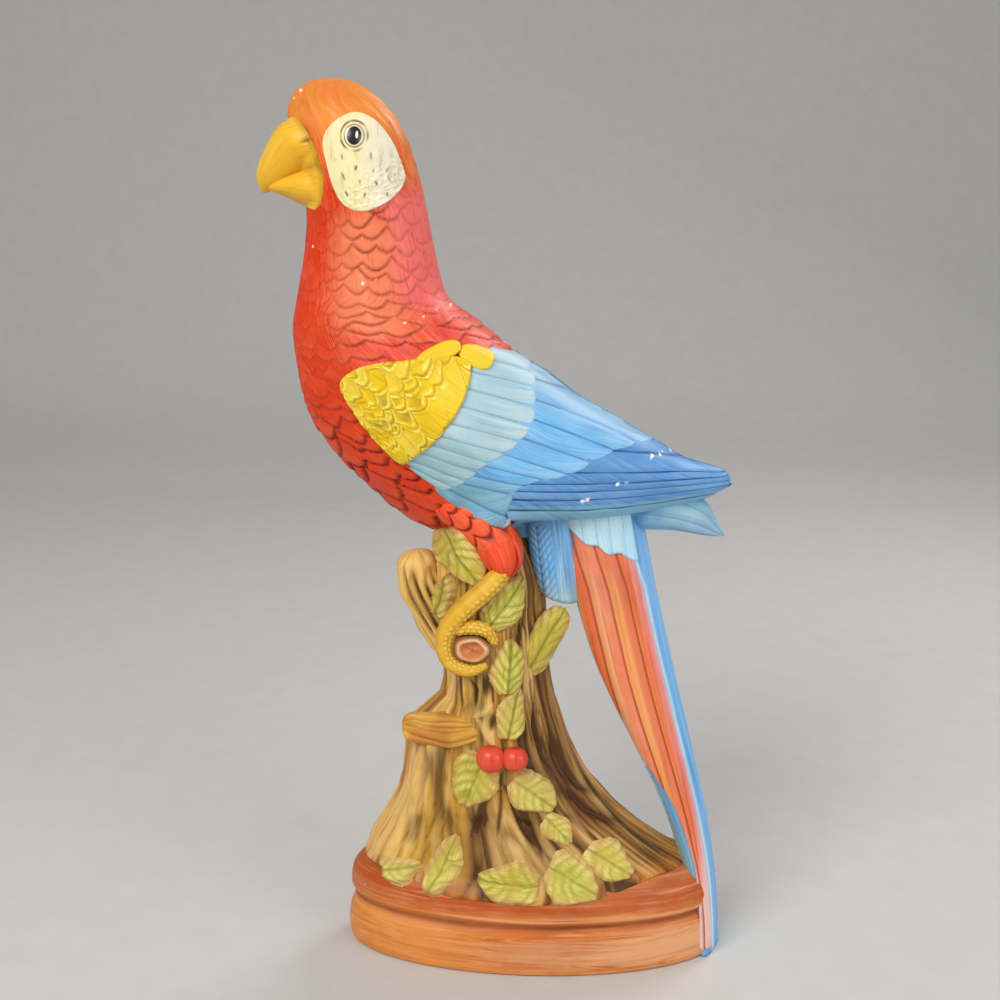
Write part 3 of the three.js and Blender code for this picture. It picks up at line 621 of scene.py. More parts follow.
def paint(name, main, light, dark, zones=(), brush=0.6, stroke=(26.0, 0.9), shine=0.4, coat=0.06, chip=None,
          over=None):
    """Brushed-on paint under a thin varnish.

    The main colour takes over to another where a zone channel says so. Streaks along the flow and a tint
    for each feather vary it, the raised edges are dry-brushed with the light colour and the grooves are
    washed with the dark one. over is a channel and a colour that covers all of these, and chip the colour
    of worn places. stroke is the length and width of the brush marks in millimetres.
    """
    material, tree, shader, place = new_material(name)

    def ranged(value, low, high, most=1.0, least=0.0, kind="LINEAR"):
        inputs = {0: value, 1: low, 2: high, 3: least, 4: most}
        return add(tree, "ShaderNodeMapRange", inputs, interpolation_type=kind).outputs[0]

    def times_plus(value, factor, key):
        inputs = {0: value, 1: factor, 2: channel(tree, key)}
        return add(tree, "ShaderNodeMath", inputs, operation="MULTIPLY_ADD").outputs[0]

    scale = (1 / stroke[0], 1 / stroke[1], 9.0)
    flow = add(tree, "ShaderNodeMapping", {"Vector": channel(tree, "flow", "Vector"), "Scale": scale})
    streak = ranged(cloud(tree, flow.outputs[0], 1.0, 4.0, 0.6), 0.25, 0.75)
    blotch = cloud(tree, place, 85.0, 3.0, 0.6)
    pale = add(tree, "ShaderNodeMath", {0: channel(tree, "tint"), 1: blotch}, operation="MULTIPLY").outputs[0]
    coats = [(ranged(times_plus(streak, 0.5, key), 0.4, 1.1), code) for key, code in zones]
    coats += [
        (ranged(cloud(tree, place, 38.0, 4.0, 0.65), 0.5, 0.75, 0.26), dark),
        (ranged(streak, 0.4, 0.1, 0.28), dark),
        (ranged(pale, 0.1, 0.7, 0.45), light),
        (ranged(times_plus(streak, 0.9, "rise"), 0.75, 1.5, brush, kind="SMOOTHSTEP"), light),
        (ranged(times_plus(blotch, 0.35, "groove"), 0.25, 1.15, 0.95), dark),
    ]
    if over:
        coats.append((channel(tree, over[0]), over[1]))
    if chip:
        coats.append((ranged(times_plus(cloud(tree, place, 420.0, 2.0), 0.7, "mark"), 0.68, 0.8), chip))
    colour = linear(main)
    for share, code in coats:
        colour = mixed(tree, share, colour, linear(code))
    bump = add(tree, "ShaderNodeBump", {"Height": streak, "Strength": 0.35, "Distance": 0.00016})
    wire(tree, shader, {
        "Base Color": colour, "Roughness": ranged(blotch, 0.3, 0.7, shine + 0.1, shine - 0.07),
        "Specular IOR Level": 0.18, "Coat Weight": coat, "Coat Roughness": 0.22, "Normal": bump.outputs[0],
    })
    return material


# Red of neck, breast and belly: salmon on the neck's scales, dark red washed into the grooves, orange crown
scarlet = paint(
    "scarlet_slip_paint", "#de3c12", "#f27c4a", "#7a1006",
    zones=(
        ("rosy", "#f46e6a"), ("salmon", "#ee7e58"), ("flame", "#e86212"), ("crown", "#ee9034"),
    ),
    brush=0.45, stroke=(9.0, 0.8), chip="#f3d8b4", over=("cool", "#5f9fc4"),
)
# Warm red of the thighs, brighter, with little dry-brushing
vermilion = paint("vermilion_slip_paint", "#f04c24", "#fa8a5c", "#84140a", brush=0.5, stroke=(14.0, 1.1))
# Tail feathers: orange and salmon streaks that run the whole length, with dark red lines between
tangerine = paint(
    "tangerine_slip_paint", "#ea7648", "#f8b49a", "#94301a",
    zones=(("warm", "#ee9a4c"), ("rosy", "#f0908a"), ("flame", "#e04c30"), ("pale", "#f0d4d0")),
    brush=0.65, stroke=(60.0, 1.3), chip="#f1ece4",
)
# Shoulder: clear yellow with pale ridges, ochre lines and olive in the deep places
yellow = paint(
    "yellow_slip_paint", "#eec61c", "#fbec6a", "#74600e", zones=(("olive", "#8a741a"),), brush=0.75,
)
# Wing coverts: pale grey-blue, streaked, with thin blue lines
# Its bright zone is painted light: a paler copy for the tail coverts, where the wing's overhang shades them
sky = paint(
    "pale_blue_slip_paint", "#a0c3cf", "#d6e4e4", "#3c7390",
    zones=(("teal", "#8dbcc4"), ("deep", "#62a8de"), ("bright", "#b8e4f4")), chip="#eef3f0",
)
# Secondaries: mid blue, greyer with white streaks by the back
blue = paint(
    "mid_blue_slip_paint", "#66b0e6", "#b2daf0", "#1c4a86", zones=(("teal", "#6ba6ba"), ("grey", "#8cb2c4")),
    brush=0.5, chip="#eef3f0",
)
# Primaries: deep blue with lighter streaks and worn white places
navy = paint(
    "deep_blue_slip_paint", "#548ecc", "#94c2e6", "#112d68", zones=(("teal", "#7cb6d2"), ("grey", "#6f9cc4")),
    brush=0.5, stroke=(45.0, 1.0), chip="#eef2ee",
)
# Tail ridge: bright blue with lighter streaks
tail_blue = paint(
    "tail_blue_slip_paint", "#62aae6", "#b4d8f0", "#2f62a0",
    zones=(("teal", "#74adb4"), ("pale", "#e6f0f4")), brush=0.4, stroke=(60.0, 1.4), chip="#eef3f2",
)
# Under the tail: blue that shades to pale grey-blue downwards, its barbs dry-brushed
covert_blue = paint(
    "covert_blue_slip_paint", "#62a4dc", "#c8e2ec", "#2f64a4", zones=(("teal", "#98bac6"),), brush=0.7,
)
# Beak: yellow horn with an olive shade at its root and along the mouth
horn = paint(
    "horn_yellow_slip_paint", "#eeb42e", "#f8d458", "#735214", zones=(("olive", "#a8821e"),), brush=0.4,
    stroke=(20.0, 2.2), shine=0.34, chip="#f7eccb",
)
# Cheek: cream with short brown ticks
cream = paint(
    "cream_slip_paint", "#f2e4ac", "#faf2d2", "#4a2f1c", zones=(("white", "#f4ecd0"),), brush=0.3,
    stroke=(8.0, 2.0),
)
# Feet: ochre, the beads picked out in yellow
ochre = paint("ochre_slip_paint", "#e4ae32", "#f2d05c", "#845612", brush=0.8, stroke=(6.0, 1.0))
# Bark: tan and golden ridges over brown cracks, purple-brown low down, rust at the ends
# Painted shade: dark brown on the stump's rear and in its broad folds. Painted light: the front end gold,
# partly the bark's own colour
bark = paint(
    "bark_brown_slip_paint", "#c8923a", "#f2ca80", "#46280e",
    zones=(
        ("moss", "#8e7a2c"), ("gold", "#e4aa3c"), ("painted_shade", "#8a541c"), ("plum", "#a87c54"),
        ("rust", "#cc7426"),
    ),
    brush=0.6, stroke=(22.0, 1.2),
)
# Cut ends of branches: red-brown heartwood inside a pale ring
heartwood = paint(
    "heartwood_slip_paint", "#ca7c46", "#f2c8a0", "#5a4a1e", zones=(("ring", "#d69c6a"),), brush=0.7,
    stroke=(5.0, 1.5),
)
# Leaves: yellow-green with cream strokes and olive veins, washed with the bark's colour at the border
leaf_green = paint(
    "leaf_green_slip_paint", "#c2ae3a", "#ecdc84", "#665814",
    zones=(("fresh", "#a9ae2a"), ("wood", "#c49a56")), brush=0.7, stroke=(4.0, 0.7),
)
# Berries: satin red
berry_red = paint("berry_red_slip_paint", "#e2482e", "#f28c6a", "#86150c", brush=0.3, shine=0.3, coat=0.3)
# Plinth: orange-brown and red-brown drawn round in long level strokes, with cream clay at the worn edges
plinth_brown = paint(
    "plinth_brown_slip_paint", "#d06e28", "#f4b27c", "#7c2e0c",
    zones=(("blush", "#d6986c"), ("red", "#bb5020"), ("soil", "#b05420"), ("amber", "#e48c38")), brush=0.65,
    stroke=(38.0, 2.4),
    chip="#f8e8c0",
)


# Bird

def body_grid(steps, around):
    """Grid of the bird's skin: shares at even spacing along it, turns, arc share from back to front round
    each rib, and the rows of feathers with their height."""
    fine = np.linspace(0.003, 0.997, 1500)
    table = spline(bird.ribs, fine)
    front = np.linalg.norm(np.diff(table[:, 0:2], axis=0), axis=1)
    back = np.linalg.norm(np.diff(table[:, 2:4], axis=0), axis=1)
    run = np.concatenate([[0], np.cumsum((front + back) / 2 + np.abs(np.diff(table[:, 4])) / 2)])
    share = np.interp(np.linspace(0, run[-1], steps), run, fine)
    height = np.interp(fine, (0, 0.3, 0.42, 0.5, 0.6, 1), (6.0, 5.4, 5.0, 5.6, 6.6, 7.5))
    rows = np.concatenate([[0], np.cumsum(np.diff(run) / height[1:])])
    turn = np.linspace(0, 2 * np.pi, around, endpoint=False)
    share, turn = np.meshgrid(share, turn, indexing="ij")
    skin = bird.point(share, turn)
    half = around // 2
    side = np.linalg.norm(np.diff(skin[:, : half + 1], axis=1), axis=-1)
    arc = np.concatenate([np.zeros((steps, 1)), np.cumsum(side, axis=1)], axis=1)
    arc = arc / arc[:, -1:]
    arc = np.concatenate([arc, arc[:, half - 1 : 0 : -1]], axis=1)
    return share, turn, arc, np.interp(share, fine, rows), np.interp(share, fine, height)


WING_OUTLINE = np.array([
    [-30.2, 35.4], [-26.8, 38.6], [-15, 41], [-10.9, 43.6], [-0.6, 43], [8, 39], [29, 27], [47, 18.6],
    [51.5, 15.2],
    [50.5, 12], [33, 10.4], [8, 8.4], [4.6, 5.4], [3.2, 4.6], [-4.5, 9.2], [-9.6, 12.8], [-17.5, 19.6],
    [-26.3, 28.4],
    [-29.6, 34],
])
BODY_CHIPS = [
    [-9.1, 52.4], [-14.2, 50.6], [-18, 49.3], [-24.3, 58.2], [-27, 57.3], [-38.7, 64.6], [-41, 96.9],
    [-42.7, 95.4],
]


def wing_swell(xz, turn):
    """How far the wings and the body under them stand out of the plain form: along the back, which runs
    straight to the wing tips, and at the elbow over the thigh."""
    x, z = np.moveaxis(to_perch(xz), -1, 0)
    back = np.interp(x, (8, 14, 22, 32, 42, 50), (0, 2.8, 4.1, 3.0, 1.5, 0))
    return back * smooth(0.3, 0.9, np.cos(turn)), 4.5 * bell(x - 1.5, 6.5) * bell(z - 5, 5.0)


def make_body():
    """Skin of head, neck and body. Feathers are rounded scales, each a low pillow that rises to its lower
    edge. They are strong on the neck's sides and the belly, and turn to brush-like strokes on the head.

    The distance to a scale's edge is the distance along the rows over the slope of that field. Under the
    wing's lower edge the body is drawn in to 8 mm each side, which leaves the plumes there free.
    """
    share, turn, arc, row, height = body_grid(410, 216)
    mantle = smooth(0.38, 0.44, share) * smooth(0.54, 0.49, share) * smooth(0.85, 0.6, arc)
    per_side = np.interp(share, (0, 0.3, 0.42, 0.55, 0.75, 1), (6, 7.4, 8.4, 11, 12.5, 12.5))
    per_side = per_side * (1 - 0.4 * mantle)
    skin = bird.point(share, turn)
    bend = noise(skin, 8.0, 56) - 0.5
    top, low, tint = shingles(row + 0.4 * bend, (arc - 0.5) * per_side + 0.4 * bend, 0.62, 1.8, 0.5)
    rise = top / np.maximum(top + low, 0.02)
    near = np.minimum(top, low) * height
    slopes = [
        np.gradient(near, axis=axis)
        / np.maximum(np.linalg.norm(np.gradient(skin, axis=axis), axis=-1), 0.05)
        for axis in (0, 1)
    ]
    near = near / np.clip(np.hypot(*slopes), 1, 3)
    c = np.cos(turn)
    lower = smooth(0.5, 0.6, share)
    flank = np.maximum(lerp(0.3 + 0.7 * bell(arc - 0.48, 0.2), 1.0, lower), 0.95 * mantle)
    xz = skin[..., [0, 2]]
    x, z = np.moveaxis(to_perch(xz), -1, 0)
    rear = np.maximum(smooth(4.0, 6.0, x) * smooth(16, 12, z), smooth(0.76, 0.79, share))
    tall = np.interp(share, (0, 0.2, 0.27, 0.32, 0.45, 0.56, 0.62, 1), (0, 0.04, 0.3, 1, 1.1, 1.5, 2.2, 2.2))
    tall = tall * flank * (1 - rear)
    head = smooth(0.3, 0.22, share) * smooth(0.0, 0.06, share)
    hair = noise(stack(row * 0.9 + 3 * arc, arc * 24 + 0.8 * row, 0), 1.0, 55)
    mottle = noise(skin, 9.0, 3) - 0.5
    lift = tall * (end_round(near, 1.5) * (0.55 + 0.45 * rise) - 0.5)
    lift = lift + 0.5 * mottle + 0.7 * head * (hair - 0.5)
    lift = np.where(inside(from_perch(WING_OUTLINE), xz), -1.3, lift) + wing_swell(xz, turn)[0]
    washed = np.interp(share, (0, 0.2, 0.28, 0.5, 0.6, 1), (0, 0.05, 0.8, 0.8, 1, 1))
    washed = washed * flank * (0.75 + 0.5 * (noise(skin, 6.0, 57) - 0.2)) * (1 - rear)
    back_line = smooth(0.985, 0.999, c) * smooth(0.45, 0.48, share) * smooth(0.54, 0.5, share)
    nape = smooth(0.0, 0.6, c) * smooth(0.2, 0.28, share) * smooth(0.44, 0.38, share)
    own_tint = (0.55 + 0.3 * mantle) * smooth(0.18, 0.3, share) * (1 - rear)
    channels = {
        "flow": (row * 5.0, arc * per_side * 8.0),
        "rise": unit(0.6 * rise + 0.35 * mantle * rise**3 + 0.5 * mottle + head * (1.1 * hair - 0.35)),
        "groove": washed * bell(near, lerp(0.62, 0.8, lower)),
        "tint": tint * own_tint + 0.3 * smooth(0.3, 0.18, share),
        "mark": 0.5 * spots(xz, BODY_CHIPS, 1.0) + 0.34 * back_line,
        "rosy": 0.9 * nape + 0.4 * mantle,
        "salmon": 1.1 * bell(arc - 0.52, 0.19) * smooth(0.25, 0.31, share) * smooth(0.49, 0.42, share),
        "flame": smooth(0.0, -0.65, c) * smooth(0.12, 0.3, share) * (1 - rear),
        "crown": smooth(0.3, 0.12, share + 0.05 * mottle),
        "cool": np.maximum(smooth(0.9, 0.97, c) * smooth(0.485, 0.505, share), rear),
    }
    rings = bird.point(share, turn, lift)
    wing_edge = np.interp(x, (5.8, 7.5, 15.7, 24.4, 33.2, 46.3, 52.8), (4.4, 5.8, 7.3, 8.1, 9, 10.6, 12))
    under = smooth(4.0, 6.5, x) * smooth(0.3, -1.7, z - wing_edge)
    rings[..., 1] = lerp(rings[..., 1], np.clip(rings[..., 1], -8, 8), under)
    tube_piece("painted_body", rings, channels, scarlet, "scarlet", "body_shell")


def end_round(distance, radius):
    """Quarter circle: 0 at an edge and 1 from a radius inwards."""
    q = unit(distance / radius)
    return np.sqrt(unit(1 - (1 - q) ** 2))


def feather_tier(node, side, root, tip, count, lifts, material, slot, zones, mark, line, columns):
    """One tier of a wing: feathers side by side, from a root curve to a tip curve drawn in side view.

    A point at share n across and s along lies on the straight line from the root curve to the tip curve,
    drawn in a little at the feathers' borders so that each end is round. It is laid on the bird's skin,
    lifted from lifts[0] at the root to lifts[1] at the tip. Feathers are slightly crowned, the lower one
    tucked under the upper, with an incised line between them that is painted with the weight line.
    """
    rows = count * 13 + 1
    n, s = np.meshgrid(np.linspace(0, 1, rows), np.linspace(0, 1, columns) ** 0.85, indexing="ij")
    k = np.minimum((n * count).astype(int), count - 1)
    f = n * count - k
    crown = 1 - np.abs(2 * f - 1) ** 2
    start, end = from_perch(spline(root, n)), from_perch(spline(tip, n))
    length = np.linalg.norm(end - start, axis=-1)
    reach = 0.97 + 0.03 * crown - 0.03 * (hashed(k, 3, side + 5) - 0.5)
    xz = start + (end - start) * (s * reach)[..., None]
    xz[..., 1] += 0.05 * np.sin(np.pi * s) * length * (0.5 - n)
    step = np.linalg.norm(np.gradient(xz, axis=0), axis=-1) * (rows - 1)
    width = np.cumsum(np.maximum(step, 0.01), axis=0) / (rows - 1)
    border = np.minimum(f, 1 - f) * step / count
    groove = bell(border, 0.4) * smooth(0, 0.25, np.minimum(n, 1 - n) * count)
    to_tip = (1 - s) * length * reach
    to_side = np.minimum(width, width[-1:] - width)
    edge = end_round(to_tip, 1.8) * end_round(to_side, 1.8) * end_round(s * length, 2.0)
    share, turn = bird.locate(xz)
    patchy = noise(bird.point(share, turn, 0.0, side), 7.0, 5)
    back, elbow = wing_swell(xz, turn)
    lift = lerp(lifts[0], lifts[1], s) + 0.2 * crown - 0.32 * groove + 0.2 * (0.5 - f)
    lift = lift + 0.8 * (patchy - 0.5) + elbow
    channels = {
        "flow": (s * length, width),
        "rise": unit(0.1 + 0.3 * crown + 0.35 * s**4 + 0.3 * (patchy - 0.4)),
        "groove": line * np.maximum(groove * (0.7 + 0.5 * patchy), 0.6 * smooth(0.7, 0.0, to_tip)),
        "tint": hashed(k, 11, 2),
        "mark": mark(n, s, f) + 0.5 * spots(xz, WING_CHIPS, 1.4),
        **{key: zone(n, s) for key, zone in zones.items()},
    }
    sheet = laid(bird, share, turn, side, lift, edge, back)
    slab_piece(f"painted_{node}", sheet, channels, material, slot, node)


WING_CHIPS = [
    [36.2, 20.4], [39, 20.7], [20.2, 11.8], [21.4, 12.1], [27.6, 15.2], [47, 19.7], [4.5, 6.2],
    [4.8, 7.2], [29.3, 15.7], [33.8, 20.2],
]


SHOULDER_FRONT = [
    [-4.4, 41.4], [-8, 42.8], [-12, 42.6], [-17.9, 41.8], [-24, 40.9], [-29, 39.2], [-32, 36],
    [-29.4, 30.6],
    [-24.7, 24.4], [-18.6, 18.4],
]
SHOULDER_REAR = [
    [-4.2, 40.6], [-4.2, 38.4], [-4.6, 36], [-5.4, 33.4], [-6.8, 30.6], [-8.4, 28.2], [-10.6, 25.2],
    [-13, 22.8], [-15.8, 20.4], [-18.2, 18.6],
]
SHOULDER_HOLLOWS = [[-23.4, 28.6], [-19.4, 27.4], [-21, 32.5], [-16.6, 30.4], [-14.6, 33]]
LONE_FEATHERS = (([-11, 43.2], (8.0, 3.6), 20), ([-3.3, 42.4], (6.4, 4.4), -24))


def make_shoulder(node, side):
    """Yellow shoulder: rows of small irregular feathers over a fan of longer ones at the rear border.

    Rows are counted forward from the rear border, the first 10 mm deep and the others 5.2 mm; both rows and
    columns are bent by noise. Each feather tilts a little its own way. Two large feathers lie apart above.
    """
    n, s = np.meshgrid(np.linspace(0, 1, 170), np.linspace(0, 1, 175), indexing="ij")
    start, end = from_perch(spline(SHOULDER_FRONT, n)), from_perch(spline(SHOULDER_REAR, n))
    length = np.linalg.norm(end - start, axis=-1)
    xz = start + (end - start) * s[..., None]
    back = (1 - s) * length
    along = np.linalg.norm(np.gradient(end[:, -1], axis=0), axis=-1).cumsum()[:, None]
    flat = stack(xz[..., 0], xz[..., 1], 0)
    bend = noise(flat, 5.5, 81) - 0.5
    sway = noise(flat, 4.5, 82) - 0.5
    forward = np.interp(back, (0, 10, 54), (0, 1, 9.4)) * smooth(-4, 6, length)
    loose = smooth(0.6, 1.4, forward)
    column = along / 6.2 * (1 + 0.45 * (1 - s)) + 0.4 * sway * loose
    top, low, tint = shingles(20 - forward + 0.35 * bend * loose, column, 0.3 + 0.2 * loose, 2.2, 0.6, 9)
    near = np.minimum(top, low * 0.8) * lerp(10.0, 5.2, loose)
    crease = bell(near, 0.42)
    rim = bell(near - 1.0, 0.5) * smooth(0.25, 0.55, noise(flat, 3.2, 83))
    tilt = (tint - 0.5) * 0.6 * (np.mod(column, 1) - 0.5)
    welt = bell(near - 0.9, 0.6) - 0.5 * smooth(1.1, 2.4, near)
    relief = lerp(0.7 * end_round(near, 1.4), 0.2 + 0.4 * welt - 0.1 * crease, loose)
    lift = 1.8 + relief + tilt + 0.25 * (tint - 0.5) * loose + 0.5 * bend
    edge = end_round(back, 1.4) * end_round(s * length, 1.6)
    edge = edge * end_round(np.minimum(n, 1 - n) * along[-1, 0], 1.8)
    hollow = (0.1 + 0.6 * spots(xz, SHOULDER_HOLLOWS, 3.8)) * loose
    channels = {
        "flow": (s * length, along),
        "rise": unit(0.9 * rim + 0.25 * end_round(near, 1.4) * (1 - 0.6 * loose)),
        "groove": unit(crease * (0.15 + 0.55 * noise(flat, 6.0, 84))),
        "tint": tint,
        "olive": unit(hollow * (0.3 + tint) * (1 - rim) * smooth(0.4, 1.6, near)),
    }
    sheet = laid(bird, *bird.locate(xz), side, lift, edge)
    slab_piece(f"painted_{node}", sheet, channels, yellow, "yellow", node)
    for k, (middle, half, lean) in enumerate(LONE_FEATHERS):
        shoulder_feather(f"painted_{node}_{k + 1}", side, middle, half, np.radians(lean), node)


def shoulder_feather(name, side, middle, half, lean, node):
    """One large oval feather of the shoulder: a grid u, v on an oval with blunt ends, laid on the bird."""
    u, v = np.meshgrid(np.linspace(-1, 1, 44), np.linspace(-1, 1, 30), indexing="ij")
    along = half[0] * u
    across = half[1] * v * (1 - np.abs(u) ** 3.0) ** 0.6 * (0.88 + 0.16 * u)
    xz = from_perch(middle) + turned(along, across, lean)
    border = np.minimum((1 - np.abs(u)) * half[0], (1 - np.abs(v)) * half[1])
    strand = np.abs(np.sin(1.4 * across + 0.15 * along))
    channels = {
        "flow": (along, across),
        "rise": 0.05 + 0.2 * strand,
        "groove": 0.7 * smooth(0.7, 0.0, border),
        "tint": 0.6,
    }
    lift = 1.9 + 0.15 * strand - 0.7 * v**2 + 0.3 * u
    sheet = laid(bird, *bird.locate(xz), side, lift, end_round(border, 1.5))
    slab_piece(name, sheet, channels, yellow, "yellow", node)


def make_wings():
    """Four tiers on each side: yellow shoulder, pale coverts, mid-blue secondaries, deep-blue primaries."""
    def upper_edge(n, s, f):
        return 0.14 * smooth(0.3, 0.0, n)

    def worn_tips(n, s, f):
        return 0.2 * smooth(0.8, 1, s) * smooth(0.3, 0.1, np.abs(f - 0.5)) + 0.06 * smooth(0.4, 0.0, n)

    tiers = (
        (
            "wing_coverts",
            [[-0.6, 44.2], [-4.5, 40], [-7, 34], [-10, 27.5], [-13.5, 23.5], [-18, 20.2], [-18.5, 18.6]],
            [[8.4, 41], [9.3, 36], [9.5, 29], [5.6, 23.6], [0, 19.6], [-4.5, 15.6], [-9.6, 12.5]],
            11, (0.9, 1.05), sky, "sky",
            {"teal": lambda n, s: smooth(0.4, 0.9, n), "deep": lambda n, s: 0.5 * smooth(0.75, 1.0, s)},
            upper_edge, 0.55, 86,
        ),
        (
            "secondaries",
            [[5, 43], [5.5, 36], [5.2, 29.5], [1, 23], [-4, 18.5], [-9, 15.5], [-13.4, 13.9]],
            [[40, 21.8], [33, 22.8], [25, 21.4], [17.6, 17.6], [9.6, 15.8], [5.6, 12], [4.8, 0.8]],
            10, (0.75, 0.8), blue, "blue",
            {"teal": lambda n, s: smooth(0.6, 0.9, n), "grey": lambda n, s: 0.9 * smooth(0.4, 0.0, n)},
            upper_edge, 0.65, 86,
        ),
        (
            "primaries",
            [[31, 29.6], [25, 26.5], [17, 19.5], [8, 15.8], [3.4, 13.6], [3, 10.6], [4.2, 6.6]],
            [[52.4, 17.4], [53.1, 16.8], [53.6, 16], [54, 15], [54.2, 13.8], [54, 12.3], [51.2, 9.4]],
            8, (0.6, 0.75), navy, "navy",
            {"teal": lambda n, s: smooth(0.8, 0.86, n), "grey": lambda n, s: 0.6 * smooth(0.3, 0.0, n)},
            worn_tips, 1.0, 110,
        ),
    )
    for word, side in SIDES:
        make_shoulder(f"{word}_shoulder_coverts", side)
        for tier, *drawn in tiers:
            feather_tier(f"{word}_{tier}", side, *drawn)


FACE_OUTLINE = [
    [-29.2, 92.3], [-33.6, 89.9], [-35.7, 86.4], [-34.8, 81.1], [-33.3, 76.3], [-30.9, 72.9],
    [-26.5, 71.9], [-21.2, 74.5], [-18.6, 78.7], [-20, 83.8], [-22.1, 87.8], [-25.1, 91.1],
]
FACE_TICKS = [
    [-31.3, 83], [-25.5, 83.3], [-28.4, 80.8], [-24.9, 80.3], [-22.4, 80.5], [-31, 79],
    [-27.6, 78], [-24.3, 77.8], [-26.6, 75.4], [-30.4, 75.5], [-22.2, 75.6], [-21.8, 78.7],
]
EYE_CENTRE = [-28.9, 87.3]
# Place of the eye's painted highlight, a small white stroke
EYE_PAINTED_GLINT = [-28.4, 87.5]


def draped_disc(outline, rings, around, side, lift):
    """Rings of a piece laid on the bird: from the outline's middle out to its rim, then under it.

    A point at share r of the way to the rim lies on the straight line from the middle in side view.
    lift(r, xz) gives how far it stands off the skin.
    """
    rim = from_perch(ring_spline(outline, np.linspace(0, 1, around, endpoint=False)))
    r = np.broadcast_to(np.linspace(0.02, 1, rings)[:, None], (rings, around))
    xz = rim.mean(axis=0) + (rim - rim.mean(axis=0)) * r[..., None]
    share, turn = bird.locate(xz)
    top = bird.point(share, turn, lift(r, xz), side)
    under = bird.point(share[-1:], turn[-1:], BEDDED, side)
    return np.concatenate([top, under]), r, xz


def face_marks(xz):
    """Brown ticks at their drawn places, and a net of faint lines between shallow pits low at the rear."""
    tick = np.zeros(xz.shape[:-1])
    for k, centre in enumerate(from_perch(FACE_TICKS)):
        x, z = np.moveaxis(xz - centre, -1, 0)
        across, along = np.moveaxis(turned(x, z, -0.6 * (hashed(k, 4) - 0.3)), -1, 0)
        mark = bell(across, 0.4) * np.exp(-((along / (0.7 + 0.6 * hashed(k, 9))) ** 4))
        tick = np.maximum(tick, (0.6 + 0.4 * hashed(k, 8)) * mark)
    x, z = np.moveaxis(xz, -1, 0)
    gap = cells(x / 2.7 + 0.2 * np.sin(z), z / 2.2, 33)
    x, z = np.moveaxis(to_perch(xz), -1, 0)
    return tick, smooth(0.1, 0.5, gap) * smooth(-1.0, 6.0, 0.7 * (x + 27) - (z - 81))


def make_face():
    """Cream cheeks with brown ticks and faint pits, and eyes with a dark pupil in a pale ring, in dark
    lines."""
    eye = from_perch(EYE_CENTRE)
    turns = np.linspace(0, 2 * np.pi, 16, endpoint=False)
    eye_outline = EYE_CENTRE + stack(3.6 * np.cos(turns), 4.2 * np.sin(turns)) / DRAWN

    def oval(xz, centre, half):
        return np.linalg.norm((xz - centre) / half, axis=-1)

    def pad(grid):
        return np.concatenate([grid, grid[-1:]])

    def cheek_lift(r, xz):
        tick, pits = face_marks(xz)
        return lerp(BEDDED, 0.8 - 0.25 * tick - 0.3 * pits, end_round(1 - r, 0.05))

    def eye_lift(r, xz):
        return lerp(BEDDED, 1.7 - 0.75 * r**2, end_round(1 - r, 0.1))

    for word, side in SIDES:
        rings, r, xz = draped_disc(FACE_OUTLINE, 110, 190, side, cheek_lift)
        tick, pits = face_marks(xz)
        x, z = np.moveaxis((xz - eye) / [4.3, 4.95], -1, 0)
        angle = np.arctan2(z, x)
        broken = unit(0.75 + 0.35 * np.cos(angle - 2.2) + 0.35 * np.cos(5 * angle))
        tick = np.maximum(tick, broken * bell(np.hypot(x, z) - 1.02, 0.085))
        channels = {
            "flow": (pad(xz[..., 1]), pad(xz[..., 0])),
            "rise": 0.3,
            "groove": pad(np.maximum(np.maximum(tick, 0.12 * pits), 0.4 * smooth(0.97, 1.0, r))),
            "tint": 0.3,
            "white": pad(0.8 * smooth(-30, -23, to_perch(xz)[..., 0])),
        }
        tube_piece(f"painted_{word}_face_patch", rings, channels, cream, "cream", f"{word}_face_patch")

        rings, r, xz = draped_disc(eye_outline, 70, 110, side, eye_lift)
        line = bell(oval(xz, eye, [3.15, 3.8]) - 1, 0.06)
        channels = {
            "flow": (pad(xz[..., 1]), pad(xz[..., 0])),
            "pupil": pad(np.maximum(smooth(1.07, 0.95, oval(xz, eye, [2.3, 3.1])), 0.85 * line)),
            # Painted highlight: a small white stroke on the pupil
            "glint": pad(smooth(1.2, 0.8, oval(xz, from_perch(EYE_PAINTED_GLINT), [0.42, 1.25]))),
        }
        tube_piece(f"painted_{word}_eye", rings, channels, eye_paint(word), "eye", f"{word}_eye")


def eye_paint(word):
    """Glossy eye: black pupil with a brown grain, in a cream ring, with a painted white highlight."""
    material, tree, shader, place = new_material(f"eye_gloss_paint_{word}")
    dark = mixed(tree, cloud(tree, place, 500.0, 2.0), linear("#0c0807"), linear("#2a160c"))
    colour = mixed(tree, channel(tree, "pupil"), linear("#e9dcae"), dark)
    # White of the painted highlight over the pupil
    colour = mixed(tree, channel(tree, "glint"), colour, linear("#f7f5ee"))
    wire(tree, shader, {
        "Base Color": colour, "Roughness": 0.32, "Coat Weight": 0.3, "Coat Roughness": 0.2,
    })
    return material


